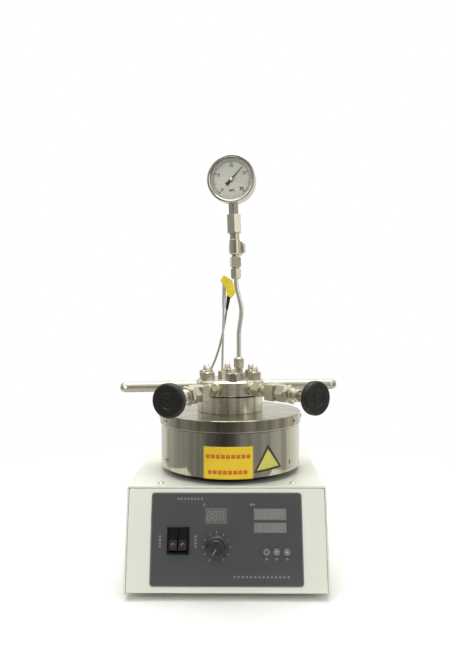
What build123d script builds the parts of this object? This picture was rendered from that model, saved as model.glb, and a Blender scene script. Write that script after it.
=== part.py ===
from build123d import *
import math
import os

os.makedirs("parts", exist_ok=True)

# A 10 mL bench-top pressure reactor on a heated magnetic stirrer.  Millimetres, +Z up, front towards -Y.
# The origin is on the table, straight under the axis of the furnace and the vessel.

# ---------------------------------------------------------------- control case
FOOT_HEIGHT = 8.0
FOOT_RADIUS = 10.0
FOOT_SIDE_INSET = 21.5
FOOT_FRONT_Y = -85.0
FOOT_REAR_INSET = 20.0
CASE_WIDTH = 233.0
CASE_HEIGHT = 113.5
CASE_CENTRE_X = -3.6          # the furnace stands a little right of the case's centre
CASE_TOP_FRONT_Y = -92.8
CASE_DEPTH = 212.0            # along the top
FRONT_LEAN = 14.63            # degrees, the front leans back at the top
COVER_SHEET = 2.0
COVER_FOLD_RADIUS = 2.4
TRAY_SHEET = 1.5
TRAY_LIP = 12.0
TRAY_PLAY = 0.2               # under and inside the cover
TRAY_SIDE_FLANGE = 8.0        # above the side screws
TRAY_REAR_RETURN = 12.0
TRAY_FRONT_CORNER = 24.0      # left standing at each end of the front lip
TRAY_FRONT_OPENING = 20.0     # the front lip's cut, behind the case's top edge
PANEL_SHEET = 2.0
PANEL_RETURN = 10.0
PANEL_GAP = 0.5
PANEL_CORNER = 2.0
PANEL_LIFT = 0.6              # above the case's bottom edge, besides its gap
PANEL_RETURN_LOW = 26.0       # side returns, in from the panel's lower and upper ends
PANEL_RETURN_HIGH = 14.0
VENT_COUNT = 7
VENT_LENGTH = 40.0
VENT_WIDTH = 3.0
VENT_PITCH = 9.0
VENT_DROP = 22.0              # first rear vent, under the case's top
UNDER_VENT_COUNT = 7
SEAT_GAP = 0.3                # between a loose piece and its seat
CUT_PLAY = 0.1                # round a body that stands in a sheet's cut-out
BEYOND = 5.0                  # how far a cut runs past the sheet it pierces

# sizes on the front panel: x from its middle, y up its slope from the case's bottom edge
OVERLAY_WIDTH = 174.6
OVERLAY_BOTTOM = 7.7
OVERLAY_TOP = 110.0
OVERLAY_CORNER = 4.0
OVERLAY_SHEET = 0.6
SPEED_WINDOW = (-24.6, 0.8, 75.2, 93.0)
TEMPERATURE_WINDOWS = ((31.6, 69.0, 79.7, 92.3), (31.6, 69.0, 65.5, 76.7))
WINDOW_DEPTH = 12.0
WINDOW_RECESS = 0.2
WINDOW_PLAY = 0.1
DISPLAY_EDGE = 2.0            # back plate beyond its windows
SWITCH_X = -55.5
SWITCH_Y = 57.2
SWITCH_WIDTH = 25.6
SWITCH_HEIGHT = 30.8
SWITCH_WALL = 0.3             # left outside the pivots' bores
SWITCH_FLANGE = 1.6
SWITCH_BODY_INSET = 1.3
SWITCH_BODY_DEPTH = 20.0
ROCKER_WIDTH = 9.2
ROCKER_LENGTH = 23.0
ROCKER_SPACING = 11.0
ROCKER_TILT = 9.0             # degrees each side of level
ROCKER_PIVOT_DEPTH = 4.0      # behind the flange's face
ROCKER_RISE = 2.6
ROCKER_PLAY = 0.4
ROCKER_END_PLAY = 1.4
ROCKER_PIN_SEAT = 0.45
ROCKER_PIN_RADIUS = 1.2
RUNNING_CLEARANCE = 0.05
SPEED_KNOB_X = -11.3
SPEED_KNOB_Y = 50.0
SPEED_KNOB_SKIRT_RADIUS = 13.0
SPEED_KNOB_SKIRT = 3.0
SPEED_KNOB_CAP_RADIUS = 9.3
SPEED_KNOB_HEIGHT = 17.0
SPEED_KNOB_RIBS = 18
SPEED_FLUTE_RADIUS = 1.1
SPEED_FLUTE_DEPTH = 0.2
SPEED_KNOB_PLAY = 0.6         # over the potentiometer's bush
SPEED_SHAFT_RADIUS = 3.0
SPEED_SHAFT_LENGTH = 12.0
POT_RADIUS = 12.0
POT_DEPTH = 10.0
POT_BUSH_RADIUS = 4.5
POT_BUSH_LENGTH = 5.5
KEY_XS = {"key_set": 45.6, "key_down": 57.1, "key_up": 68.9}
KEY_Y = 45.0
KEY_RADIUS = 3.7
KEY_RISE = 0.9
KEY_STEM_RADIUS = 2.5
KEY_STEM_BACK = 2.0           # behind the panel
KEY_SWITCH_SIDE = 6.0
KEY_TRAVEL = 0.5
KEY_PLAY = 0.15
BOARD_WIDTH = 170.0
BOARD_SHEET = 1.6
BOARD_BOTTOM = 24.0
BOARD_TOP = 104.0
SPACER_RADIUS = 3.0
SPACER_INSET = 5.0            # from a board's edges
BOARD_BLOCKS = ((20.0, 6.0, 40.0, 24.0, 16.0), (-20.0, 46.0, 25.0, 24.0, 12.0))  # x, rise, width, height, depth
MODULE_SIDE_GAP = 17.8        # power board to the tray's left wall
MODULE_FRONT_Y = 20.0
MODULE_WIDTH = 60.0
MODULE_LENGTH = 80.0
MODULE_SPACER = 6.0
SINK_SIDE_INSET = 6.0
SINK_END_INSET = 12.0
SINK_BASE = 4.0
SINK_HEIGHT = 22.4
FIN_COUNT = 7
FIN_WIDTH = 2.4

# ------------------------------------------------------------------- furnace
PLINTH_HEIGHT = 8.0
PLINTH_INSET = 17.0           # the plinth stands in from the shell
PLINTH_WALL = 4.0
FURNACE_HEIGHT = 67.8
SHELL_RADIUS = 91.0
SHELL_SHEET = 1.5
LID_SHEET = 1.2
LID_DEPTH = 14.0
LID_PLAY = 0.1
LID_EDGE_RADIUS = 1.0
BASE_DISC = 2.0
BASE_WALL = 1.5
BASE_WALL_HEIGHT = 18.0
INSULATION_GAP = 2.4
HEATER_RADIUS = 55.0
HEATER_FLOOR = 8.0
HEATER_TOP_GAP = 2.0
INSULATION_STEP = 12.0
ROTOR_HOLE_RADIUS = 38.0
LID_SCREW_ANGLES = (-118.0, -90.0, -61.0, 62.0, 90.0, 118.0)   # from the front, towards +X
SHELL_SCREW_ANGLES = (-61.0, 56.0, 180.0)
SHELL_SCREW_HEIGHT = 11.5

# ------------------------------------------------------------- stirrer drive
MOTOR_RADIUS = 18.5
MOTOR_HEIGHT = 46.0
MOTOR_FLANGE_RADIUS = 26.0
MOTOR_FLANGE = 2.0
MOTOR_SHAFT_RADIUS = 3.0
MOTOR_BORE_DEPTH = 14.0
ROTOR_RADIUS = 30.0
ROTOR_THICKNESS = 6.0
ROTOR_GAP = 5.0               # under the heater
ROTOR_HUB_RADIUS = 8.0
ROTOR_HUB_HEIGHT = 10.0
ROTOR_MAGNET = (44.0, 12.0, 8.0)
SHAFT_HOLE_RADIUS = 10.0

# -------------------------------------------------------------------- vessel
FLANGE_RADIUS = 43.0
FLANGE_HEIGHT = 20.4
VESSEL_LOWER_RADIUS = 30.0
VESSEL_LOWER_DEPTH = 13.6
VESSEL_PLAY = 0.5
CAVITY_RADIUS = 14.0
CAVITY_DEPTH = 17.0
CAVITY_CORNER = 3.0
SEAL_GAP = 1.9
SEAL_INNER_RADIUS = 16.5
SEAL_OUTER_RADIUS = 21.0
SEAL_GROOVE = 1.2
HEAD_RADIUS = 44.5
HEAD_HEIGHT = 19.4
HEAD_CHAMFER = 2.6
HEAD_TURN = 6.5               # degrees, the head stands turned on the case, anticlockwise from above
STUD_COUNT = 6
STUD_CIRCLE = 35.0
STUD_RADIUS = 5.0
STUD_TIP_RADIUS = 4.2
STUD_TIP_LENGTH = 7.0
STUD_DEPTH = 15.0
STUD_RISE = 8.0               # above the nut
THREAD_PLAY = 0.05
STUD_HOLE_PLAY = 0.5
NUT_FLATS = 16.0
NUT_HEIGHT = 10.0
STUD_NUT_TURN = 17.0          # degrees, from one nut to the next
STIR_BAR_LENGTH = 12.0
STIR_BAR_RADIUS = 2.5

# ------------------------------------------------------------- handle rods
ROD_RADIUS = 6.9
ROD_REACH = 144.0             # tip to the vessel's axis
ROD_SPIGOT_RADIUS = 5.0
ROD_SPIGOT = 13.0
ROD_HOLE_RADIUS = 2.6
ROD_HOLE_INSET = 6.6
SPOT_FACE_DEPTH = 0.9
ROD_SPOT_RADIUS = 8.2

# ------------------------------------------------------------ needle valves
VALVE_ANGLE = 30.0            # each side of the head's front
PORT_RADIUS = 5.0
PORT_DEPTH = 14.0
PASSAGE_RADIUS = 1.5
PASSAGE_FOOT = 9.0            # from the vessel's axis
PORT_SPOT_RADIUS = 9.2
COLLAR_RADIUS = 8.0
COLLAR_LENGTH = 6.5
CONNECTOR_GROOVE = 2.0        # between the collar and the hexagon
CONNECTOR_NECK_RADIUS = 6.0
CONNECTOR_FLATS = 15.6
CONNECTOR_HEX_LENGTH = 16.0
BLOCK_START = 38.0            # from the head's side, along the valve
BLOCK_LENGTH = 17.2
BLOCK_WIDTH = 19.6
BLOCK_EDGE = 0.8
OUTLET_RADIUS = 3.0
OUTLET_LENGTH = 10.0
OUTLET_FLATS = 12.0
OUTLET_NUT = 5.0
VALVE_NECK_RADIUS = 7.2
VALVE_NECK = 2.2
BONNET_FLATS = 19.0
BONNET_LENGTH = 14.6
LOCK_GROOVE = 1.2
LOCK_NUT_FLATS = 20.6
LOCK_NUT_TURN = 12.0          # degrees
HEX_ACROSS = 30.0             # degrees, turns a hexagon's corners to the sides
LOCK_NUT_LENGTH = 5.8
GLAND_RADIUS = 8.6
GLAND_COLLAR_RADIUS = 7.4
GLAND_LENGTH = 13.0
STEM_RADIUS = 3.5
STEM_SEAT_RADIUS = 1.6
VALVE_REACH = 121.6           # head's side to the knob's face
KNOB_RADIUS = 19.25
KNOB_RIM = 10.4
KNOB_ROUND = 3.4
KNOB_HUB_RADIUS = 8.0
KNOB_HUB = 8.0
KNOB_CAP_RADIUS = 7.0
KNOB_CAP_GROOVE = 0.8

# --------------------------------------------------------------- gauge line
GAUGE_PORT_X = 11.8
PORT_Y = 3.0
PORT_HEX_FLATS = 16.0
PORT_HEX_HEIGHT = 7.5
PORT_HEX_TURN = 10.0          # degrees, as are the turns below
PORT_NECK_RADIUS = 5.2
PORT_NECK_HEIGHT = 6.5
TUBE_RADIUS = 3.0
TUBE_WALL = 1.0
TUBE_NUT_FLATS = 13.0
TUBE_NUT_HEIGHT = 13.5
TUBE_NUT_TURN = 28.0
TUBE_NUT_CONE = 1.4
TUBE_NUT_NECK = 1.7           # between the upper nut's foot and its cone end
TUBE_ROUTE = ((11.8, 249.0), (11.8, 300.0), (16.4, 330.0))   # x and z, below the column
TUBE_BENDS = (70.0, 55.0, 40.0)
TUBE_STRAIGHT = 8.0           # under the upper nut, in line with the column
TUBE_SEAT = 4.0               # into the upper nut
COLUMN_LEAN = 1.9             # degrees, the gauge's column leans to -X
COLUMN_X = 8.6
COLUMN_BASE = 369.0           # height of the upper nut's lower end
UNION_GAP = 1.8
UNION_NECK_RADIUS = 4.6
UNION_SIDE = 12.2
UNION_TURN = 14.0
UNION_LENGTH = 14.0
UNION_TOP_NECK = 3.4
TEE_RADIUS = 7.4
TEE_HEIGHT = 20.0
TEE_BRANCH_TURN = 78.0        # degrees from +X towards +Y
TEE_BRANCH_RADIUS = 6.4
TEE_BRANCH_LENGTH = 9.4
TEE_NECK_RADIUS = 6.4
TEE_NECK = 8.0
HOLDER_FLATS = 20.6
HOLDER_LENGTH = 12.0
HOLDER_CAP_RADIUS = 8.0
HOLDER_CAP_LENGTH = 7.0
HOLDER_VENT_RADIUS = 3.4
HOLDER_VENT_HEIGHT = 19.0
COUPLING_FLATS = 17.8
COUPLING_LENGTH = 25.0
COUPLING_TURN = 32.0
SHANK_SIDE = 9.8
SHANK_TURN = 42.0
GAUGE_TURN = -10.0            # degrees about the column, the dial looks a little to -X
GAUGE_RISE = 45.2             # the dial's centre above the coupling's top
GAUGE_CASE_RADIUS = 30.2
GAUGE_CASE_DEPTH = 26.0
GAUGE_CASE_WALL = 1.2
GAUGE_FRONT = 14.0            # the bezel's face in front of the column's axis
BEZEL_RADIUS = 31.8
BEZEL_DEPTH = 6.4
BEZEL_WINDOW_RADIUS = 28.0
BEZEL_LIP = 1.6
GLASS_THICKNESS = 2.0
DIAL_RADIUS = 28.7
DIAL_DEPTH = 7.2              # behind the bezel's face
DIAL_THICKNESS = 1.0
POINTER_LENGTH = 22.0
POINTER_TAIL = 9.6
POINTER_TAIL_HALF = 2.2        # half the width of the tail's broad end
POINTER_GAP = 1.2
POINTER_THICKNESS = 0.6
POINTER_HUB_RADIUS = 2.6
ARBOR_RADIUS = 1.0
POINTER_REST = 135.0          # degrees from -X, clockwise: the scale starts at -45 and ends at 225

# ------------------------------------------------------------- thermocouple
PROBE_X = -10.8
PROBE_LEAN = 1.6              # degrees to +X
PROBE_GLAND_FLATS = 10.0
PROBE_GLAND_HEIGHT = 9.6
PROBE_GLAND_TURN = 25.0
PROBE_SHEATH_RADIUS = 1.5
PROBE_TIP_HEIGHT = 4.0        # above the cavity's floor
PROBE_CRIMP_HEIGHT = 93.5     # above the head
PROBE_SLEEVE_RADIUS = 2.5
PROBE_SLEEVE_LENGTH = 38.0
PLUG_OUTLINE = ((-12.4, 368.8), (-7.9, 375.6), (3.4, 368.9), (7.4, 352.4), (2.2, 345.2), (-3.6, 348.8),
                (-4.6, 358.5), (-8.6, 363.0))
PLUG_DEPTH = 11.0
PLUG_ROUND = 1.6
RELIEF_LENGTH = 20.0
RELIEF_RADIUS = 2.6
LEAD_RADIUS = 1.45
LEAD_FIRST_RUN = 24.0
LEAD_GLAND_X = -60.0
LEAD_GLAND_Z = 70.0
LEAD_GLAND_FLATS = 14.0
LEAD_GLAND_LENGTH = 12.0
LEAD_GLAND_THREAD_RADIUS = 5.0

# --------------------------------------------------------------- rear fittings
INLET_SIDE_INSET = 57.9       # its middle, from the case's side
INLET_Z = 45.0
INLET_CAVITY = (24.0, 16.4, 15.5)
INLET_FLANGE = (50.0, 28.0, 2.5)
INLET_BODY_DEPTH = 18.0
INLET_PIN = (2.0, 4.0, 12.0)
INLET_PIN_SPACING = 7.0
INLET_PIN_RISE = 2.0          # the middle blade above the inlet's centre, the outer two below it
INLET_LEDGE_X = 4.2           # the flange beyond the body, at the ends and above and below
INLET_LEDGE_Z = 2.2
INLET_PLAY = 0.2
INLET_FLANGE_CORNER = 4.0
INLET_MOUTH_CORNER = 4.5

# ------------------------------------------------------------------ screws
SCREW_HEAD_RADIUS = 3.7
SCREW_HEAD_HEIGHT = 2.2
SCREW_RADIUS = 1.9
SCREW_LENGTH = 5.0
SCREW_HOLE_RADIUS = 2.1
TOP_SCREW_SIDE_INSET = 38.0
TOP_SCREW_INSET = 12.0
SIDE_SCREW_Y = 75.0
SIDE_SCREW_HEIGHT = 14.0

# ------------------------------------------------------------ derived levels
CASE_TOP = FOOT_HEIGHT + CASE_HEIGHT
LEAN = math.radians(FRONT_LEAN)
CASE_BOTTOM_FRONT_Y = CASE_TOP_FRONT_Y - CASE_HEIGHT * math.tan(LEAN)
CASE_REAR_Y = CASE_TOP_FRONT_Y + CASE_DEPTH
SLOPE_LENGTH = CASE_HEIGHT / math.cos(LEAN)
INLET_X = CASE_CENTRE_X + CASE_WIDTH / 2 - INLET_SIDE_INSET
FURNACE_BOTTOM = CASE_TOP + PLINTH_HEIGHT
FURNACE_TOP = FURNACE_BOTTOM + FURNACE_HEIGHT
PLINTH_RADIUS = SHELL_RADIUS - PLINTH_INSET
LID_RADIUS = SHELL_RADIUS + LID_PLAY + LID_SHEET
BASE_RADIUS = SHELL_RADIUS - SHELL_SHEET - LID_PLAY
FLANGE_TOP = FURNACE_TOP + FLANGE_HEIGHT
HEAD_BOTTOM = FLANGE_TOP + SEAL_GAP
HEAD_TOP = HEAD_BOTTOM + HEAD_HEIGHT
PORT_LEVEL = HEAD_BOTTOM + HEAD_HEIGHT / 2
SPOT_RADIUS = HEAD_RADIUS - SPOT_FACE_DEPTH
HEATER_SEAT = FURNACE_TOP - VESSEL_LOWER_DEPTH - SEAT_GAP
HEATER_BOTTOM = HEATER_SEAT - HEATER_FLOOR
HEATER_TOP = FURNACE_TOP - LID_SHEET - HEATER_TOP_GAP
ROTOR_TOP = HEATER_BOTTOM - ROTOR_GAP
COVER_UNDERSIDE = CASE_TOP - COVER_SHEET

# the front panel's plane: local x across, local y up the slope, local z out of the panel
FRONT = Plane(origin=(CASE_CENTRE_X, CASE_BOTTOM_FRONT_Y, FOOT_HEIGHT), x_dir=(1, 0, 0),
              z_dir=(0, -math.cos(LEAN), math.sin(LEAN)))
# the gauge's column: local z along the column, from the lower end of its first nut
COLUMN = Location((COLUMN_X, PORT_Y, COLUMN_BASE), (0, -COLUMN_LEAN, 0))
PROBE = Location((PROBE_X, PORT_Y, HEAD_TOP), (0, PROBE_LEAN, 0))


# ------------------------------------------------------------------- helpers
def disc(radius, low, high, x=0.0, y=0.0):
    """Upright cylinder between two heights."""
    return Pos(x, y, (low + high) / 2) * Cylinder(radius, high - low)


def ring(outer, inner, low, high, x=0.0, y=0.0):
    """Upright tube between two heights."""
    return disc(outer, low, high, x, y) - disc(inner, low - 1, high + 1, x, y)


def slab(x0, x1, y0, y1, z0, z1):
    """Box between two corners."""
    return Pos((x0 + x1) / 2, (y0 + y1) / 2, (z0 + z1) / 2) * Box(x1 - x0, y1 - y0, z1 - z0)


def turned(*outline):
    """Solid of revolution about Z from an outline of (radius, height) points."""
    return revolve(Plane.XZ * make_face(Polyline(*outline, close=True)), Axis.Z)


def hexagon(flats, low, high, turn=0.0):
    """Hexagonal prism along Z with both ends chamfered as on a nut."""
    corner = flats / math.sqrt(3)
    face_radius = 0.48 * flats
    drop = (corner - face_radius) * math.tan(math.radians(30))
    prism = Pos(0, 0, low) * extrude(RegularPolygon(corner, 6), high - low)
    envelope = turned((0, low), (face_radius, low), (corner, low + drop), (corner, high - drop),
                      (face_radius, high), (0, high))
    return Rot(0, 0, turn) * (prism & envelope)


def cap_arc(radius, low, height):
    """Arc of a spherical cap's outline, from its rim to the axis."""
    sphere = (radius ** 2 + height ** 2) / (2 * height)
    half = math.asin(radius / sphere) / 2
    return ThreePointArc((radius, low), (sphere * math.sin(half), low + height - sphere * (1 - math.cos(half))),
                         (0, low + height))


def group(solids):
    """Several separate solids in one node."""
    return Compound(children=list(solids))


def outward(angle, radius, level):
    """Frame on a radial axis: local z points out, local x points up; the angle is from -Y towards +X."""
    a = math.radians(angle)
    direction = (math.sin(a), -math.cos(a), 0)
    return Plane(origin=(direction[0] * radius, direction[1] * radius, level), x_dir=(0, 0, 1),
                 z_dir=direction).location


def screw():
    """Pan-head screw along Z with its head's underside at the origin."""
    rim = SCREW_HEAD_HEIGHT * 0.35
    outline = Polyline((0, SCREW_HEAD_HEIGHT), (0, -SCREW_LENGTH), (SCREW_RADIUS, -SCREW_LENGTH),
                       (SCREW_RADIUS, 0), (SCREW_HEAD_RADIUS, 0), (SCREW_HEAD_RADIUS, rim))
    arc = cap_arc(SCREW_HEAD_RADIUS, rim, SCREW_HEAD_HEIGHT - rim)
    return revolve(Plane.XZ * make_face(outline + arc), Axis.Z)


def screw_places():
    """Where the case's and the furnace's pan-head screws sit, local z out of the sheet."""
    top_y = (CASE_TOP_FRONT_Y + TOP_SCREW_INSET, CASE_REAR_Y - TOP_SCREW_INSET)
    places = {"case": [], "lid": [], "shell": []}
    for side in (-1, 1):
        for y in top_y:
            places["case"].append(Location((CASE_CENTRE_X + side * (CASE_WIDTH / 2 - TOP_SCREW_SIDE_INSET), y, CASE_TOP)))
        for y in (-SIDE_SCREW_Y, SIDE_SCREW_Y):
            wall = Plane(origin=(CASE_CENTRE_X + side * CASE_WIDTH / 2, y, FOOT_HEIGHT + SIDE_SCREW_HEIGHT),
                         x_dir=(0, side, 0), z_dir=(side, 0, 0))
            places["case"].append(wall.location)
    for angle in LID_SCREW_ANGLES:
        places["lid"].append(outward(angle, LID_RADIUS, FURNACE_TOP - LID_DEPTH / 2))
    for angle in SHELL_SCREW_ANGLES:
        places["shell"].append(outward(angle, SHELL_RADIUS, FURNACE_BOTTOM + SHELL_SCREW_HEIGHT))
    return places


def screw_holes(places):
    """Clearance holes for the screws at the given places."""
    return [place * Cylinder(SCREW_HOLE_RADIUS, 4 * SCREW_LENGTH) for place in places]


def case_prism(inset, x0, x1, low, high):
    """The case's side profile with its leaning front, inset from front and rear, as a solid."""
    def front(z):
        return CASE_TOP_FRONT_Y - (CASE_TOP - z) * math.tan(LEAN) + inset / math.cos(LEAN)
    outline = Polyline((front(low), low), (CASE_REAR_Y - inset, low), (CASE_REAR_Y - inset, high),
                       (front(high), high), close=True)
    return Pos(x0, 0, 0) * extrude(Plane.YZ * make_face(outline), x1 - x0)


# ---------------------------------------------------------------- control case
def base_tray(places):
    """Bottom and rear wall folded from one sheet, with an upturned lip at the front and side flanges."""
    half = CASE_WIDTH / 2 - COVER_SHEET - TRAY_PLAY
    x0, x1 = CASE_CENTRE_X - half, CASE_CENTRE_X + half
    body = case_prism(PANEL_SHEET + PANEL_GAP, x0, x1, FOOT_HEIGHT, COVER_UNDERSIDE - TRAY_PLAY)
    body += slab(x0, x1, 0, CASE_REAR_Y, FOOT_HEIGHT, COVER_UNDERSIDE - TRAY_PLAY)
    inner = case_prism(PANEL_SHEET + PANEL_GAP + TRAY_SHEET, x0 + TRAY_SHEET, x1 - TRAY_SHEET,
                       FOOT_HEIGHT + TRAY_SHEET, CASE_TOP)
    tray = body - inner
    flange_top = FOOT_HEIGHT + SIDE_SCREW_HEIGHT + TRAY_SIDE_FLANGE
    tray -= slab(x0 - BEYOND, x1 + BEYOND, CASE_BOTTOM_FRONT_Y - BEYOND, CASE_REAR_Y - TRAY_SHEET - TRAY_REAR_RETURN,
                 flange_top, CASE_TOP)
    tray -= slab(x0 + TRAY_FRONT_CORNER, x1 - TRAY_FRONT_CORNER, CASE_BOTTOM_FRONT_Y - BEYOND,
                 CASE_TOP_FRONT_Y + TRAY_FRONT_OPENING, FOOT_HEIGHT + TRAY_LIP, CASE_TOP)
    vents = []
    for row in range(VENT_COUNT):
        z = CASE_TOP - VENT_DROP - row * VENT_PITCH
        slot = SlotOverall(VENT_LENGTH, VENT_WIDTH)
        vents.append(Plane(origin=(CASE_CENTRE_X, CASE_REAR_Y, z), x_dir=(1, 0, 0),
                           z_dir=(0, 1, 0)) * extrude(slot, 2 * TRAY_SHEET, both=True))
    for row in range(UNDER_VENT_COUNT):
        y = (row - (UNDER_VENT_COUNT - 1) / 2) * VENT_PITCH
        slot = SlotOverall(VENT_LENGTH, VENT_WIDTH)
        vents.append(Pos(CASE_CENTRE_X, y, FOOT_HEIGHT) * extrude(slot, 2 * TRAY_SHEET, both=True))
    tray -= vents
    half_w = INLET_FLANGE[0] / 2 - INLET_LEDGE_X + INLET_PLAY
    half_h = INLET_FLANGE[1] / 2 - INLET_LEDGE_Z + INLET_PLAY
    tray -= slab(INLET_X - half_w, INLET_X + half_w, CASE_REAR_Y - BEYOND, CASE_REAR_Y + BEYOND,
                 INLET_Z - half_h, INLET_Z + half_h)
    gland = Plane(origin=(LEAD_GLAND_X, CASE_REAR_Y, LEAD_GLAND_Z), z_dir=(0, 1, 0)).location
    tray -= gland * Cylinder(LEAD_GLAND_THREAD_RADIUS + CUT_PLAY, 2 * BEYOND)
    return tray - screw_holes(places["case"])


def case_cover(places):
    """Top and two sides folded from one sheet."""
    half = CASE_WIDTH / 2
    high = case_prism(0, CASE_CENTRE_X - half, CASE_CENTRE_X + half, FOOT_HEIGHT, CASE_TOP)
    folds = [e for e in high.edges().filter_by(Axis.Y) if e.center().Z > CASE_TOP - 1]
    high = fillet(folds, COVER_FOLD_RADIUS)
    hollow = slab(CASE_CENTRE_X - half + COVER_SHEET, CASE_CENTRE_X + half - COVER_SHEET,
                  CASE_BOTTOM_FRONT_Y - 5, CASE_REAR_Y + 5, FOOT_HEIGHT - 5, COVER_UNDERSIDE)
    cover = high - hollow
    cover -= disc(SHAFT_HOLE_RADIUS, COVER_UNDERSIDE - 5, CASE_TOP + 5)
    return cover - screw_holes(places["case"])


def window_cut(window, play=0.0):
    """Opening through the front panel for one display window."""
    x0, x1, y0, y1 = window
    return FRONT * slab(x0 - play, x1 + play, y0 - play, y1 + play, -PANEL_SHEET - BEYOND, OVERLAY_SHEET + BEYOND)


def panel_cuts():
    """What is cut through the front panel and its overlay: windows, switch, knob bush and keys."""
    cuts = [window_cut(w, WINDOW_PLAY) for w in (SPEED_WINDOW,) + TEMPERATURE_WINDOWS]
    inset = SWITCH_BODY_INSET - CUT_PLAY
    cuts.append(FRONT * Pos(SWITCH_X, SWITCH_Y, 0)
                * Box(SWITCH_WIDTH - 2 * inset, SWITCH_HEIGHT - 2 * inset, 4 * BEYOND))
    cuts.append(FRONT * Pos(SPEED_KNOB_X, SPEED_KNOB_Y, 0) * Cylinder(POT_BUSH_RADIUS + CUT_PLAY, 4 * BEYOND))
    return cuts + [FRONT * Pos(x, KEY_Y, 0) * Cylinder(KEY_STEM_RADIUS + KEY_PLAY, 4 * BEYOND)
                   for x in KEY_XS.values()]


def front_panel():
    """Folded front panel between the cover's edges, with cut-outs for what it carries."""
    half = CASE_WIDTH / 2 - COVER_SHEET - PANEL_GAP
    low = PANEL_GAP + PANEL_LIFT
    high = SLOPE_LENGTH - (COVER_SHEET + PANEL_GAP) / math.cos(LEAN)
    plate = slab(-half, half, low, high, -PANEL_SHEET, 0)
    plate = fillet(plate.edges().filter_by(Axis.Z), PANEL_CORNER)
    returns = [slab(s * half - (s + 1) / 2 * TRAY_SHEET, s * half + (1 - s) / 2 * TRAY_SHEET,
                    low + PANEL_RETURN_LOW, high - PANEL_RETURN_HIGH, -PANEL_RETURN, -PANEL_SHEET) for s in (-1, 1)]
    return FRONT * (plate + returns) - panel_cuts()


def control_overlay():
    """Dark overlay sheet on the front panel."""
    height = OVERLAY_TOP - OVERLAY_BOTTOM
    sheet = Pos(0, (OVERLAY_TOP + OVERLAY_BOTTOM) / 2, 0) * RectangleRounded(OVERLAY_WIDTH, height, OVERLAY_CORNER)
    return FRONT * extrude(sheet, OVERLAY_SHEET) - panel_cuts()


def display_modules():
    """Two display blocks behind the overlay, with one face for each window, each on its own back plate."""
    modules = []
    for windows in ((SPEED_WINDOW,), TEMPERATURE_WINDOWS):
        x0 = min(w[0] for w in windows) - DISPLAY_EDGE
        x1 = max(w[1] for w in windows) + DISPLAY_EDGE
        y0 = min(w[2] for w in windows) - DISPLAY_EDGE
        y1 = max(w[3] for w in windows) + DISPLAY_EDGE
        module = slab(x0, x1, y0, y1, -WINDOW_DEPTH, -PANEL_SHEET)
        module += [slab(*w, -WINDOW_DEPTH, OVERLAY_SHEET - WINDOW_RECESS) for w in windows]
        modules.append(FRONT * module)
    return group(modules)


def switch_frame():
    """Local frame of the double rocker switch: origin on its flange's face, middle."""
    return FRONT.location * Pos(SWITCH_X, SWITCH_Y, OVERLAY_SHEET + SWITCH_FLANGE)


def switch_bezel():
    """Rocker switch body: flange, walled body and the two pivots' bores."""
    frame = switch_frame()
    flange = Pos(0, 0, -SWITCH_FLANGE / 2) * Box(SWITCH_WIDTH, SWITCH_HEIGHT, SWITCH_FLANGE)
    flange = chamfer(flange.faces().sort_by(Axis.Z)[-1].edges(), 0.7)
    width, height = SWITCH_WIDTH - 2 * SWITCH_BODY_INSET, SWITCH_HEIGHT - 2 * SWITCH_BODY_INSET
    body = Pos(0, 0, -SWITCH_BODY_DEPTH / 2 - 0.5) * Box(width, height, SWITCH_BODY_DEPTH - 1)
    bezel = flange + body
    for side in (-1, 1):
        x = side * ROCKER_SPACING / 2
        bezel -= Pos(x, 0, 0) * Box(ROCKER_WIDTH + 2 * ROCKER_PLAY, ROCKER_LENGTH + 2 * ROCKER_END_PLAY, 17)
    bore = Pos(0, 0, -ROCKER_PIVOT_DEPTH) * Rot(0, 90, 0)
    bezel -= bore * Cylinder(ROCKER_PIN_RADIUS + RUNNING_CLEARANCE, width - 2 * SWITCH_WALL)
    return frame * bezel


def rocker(side):
    """One rocker on its own pivot pin; its two wings meet at a shallow angle."""
    half = ROCKER_LENGTH / 2
    rise = ROCKER_RISE + ROCKER_PIVOT_DEPTH
    tilt = math.tan(math.radians(ROCKER_TILT))
    outline = Polyline((-half, rise), (-half + 0.6, -1.2), (0, -3.0), (half - 0.6, -1.2), (half, rise),
                       (0, rise - half * tilt * 0.9), close=True)
    body = Pos(-ROCKER_WIDTH / 2, 0, 0) * extrude(Plane.YZ * make_face(outline), ROCKER_WIDTH)
    pin = Rot(0, 90, 0) * Cylinder(ROCKER_PIN_RADIUS, ROCKER_WIDTH + 2 * ROCKER_PLAY + 2 * ROCKER_PIN_SEAT)
    place = switch_frame() * Pos(side * ROCKER_SPACING / 2, 0, -ROCKER_PIVOT_DEPTH) * Rot(-ROCKER_TILT, 0, 0)
    return place * (body + pin)


def speed_potentiometer():
    """Potentiometer behind the panel, with its threaded bush through it."""
    can = disc(POT_RADIUS, -PANEL_SHEET - POT_DEPTH, -PANEL_SHEET)
    bush = disc(POT_BUSH_RADIUS, -PANEL_SHEET, POT_BUSH_LENGTH)
    bore = disc(SPEED_SHAFT_RADIUS + RUNNING_CLEARANCE, -PANEL_SHEET - POT_DEPTH + 2, POT_BUSH_LENGTH + 1)
    return FRONT * Pos(SPEED_KNOB_X, SPEED_KNOB_Y, 0) * (can + bush - bore)


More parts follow.
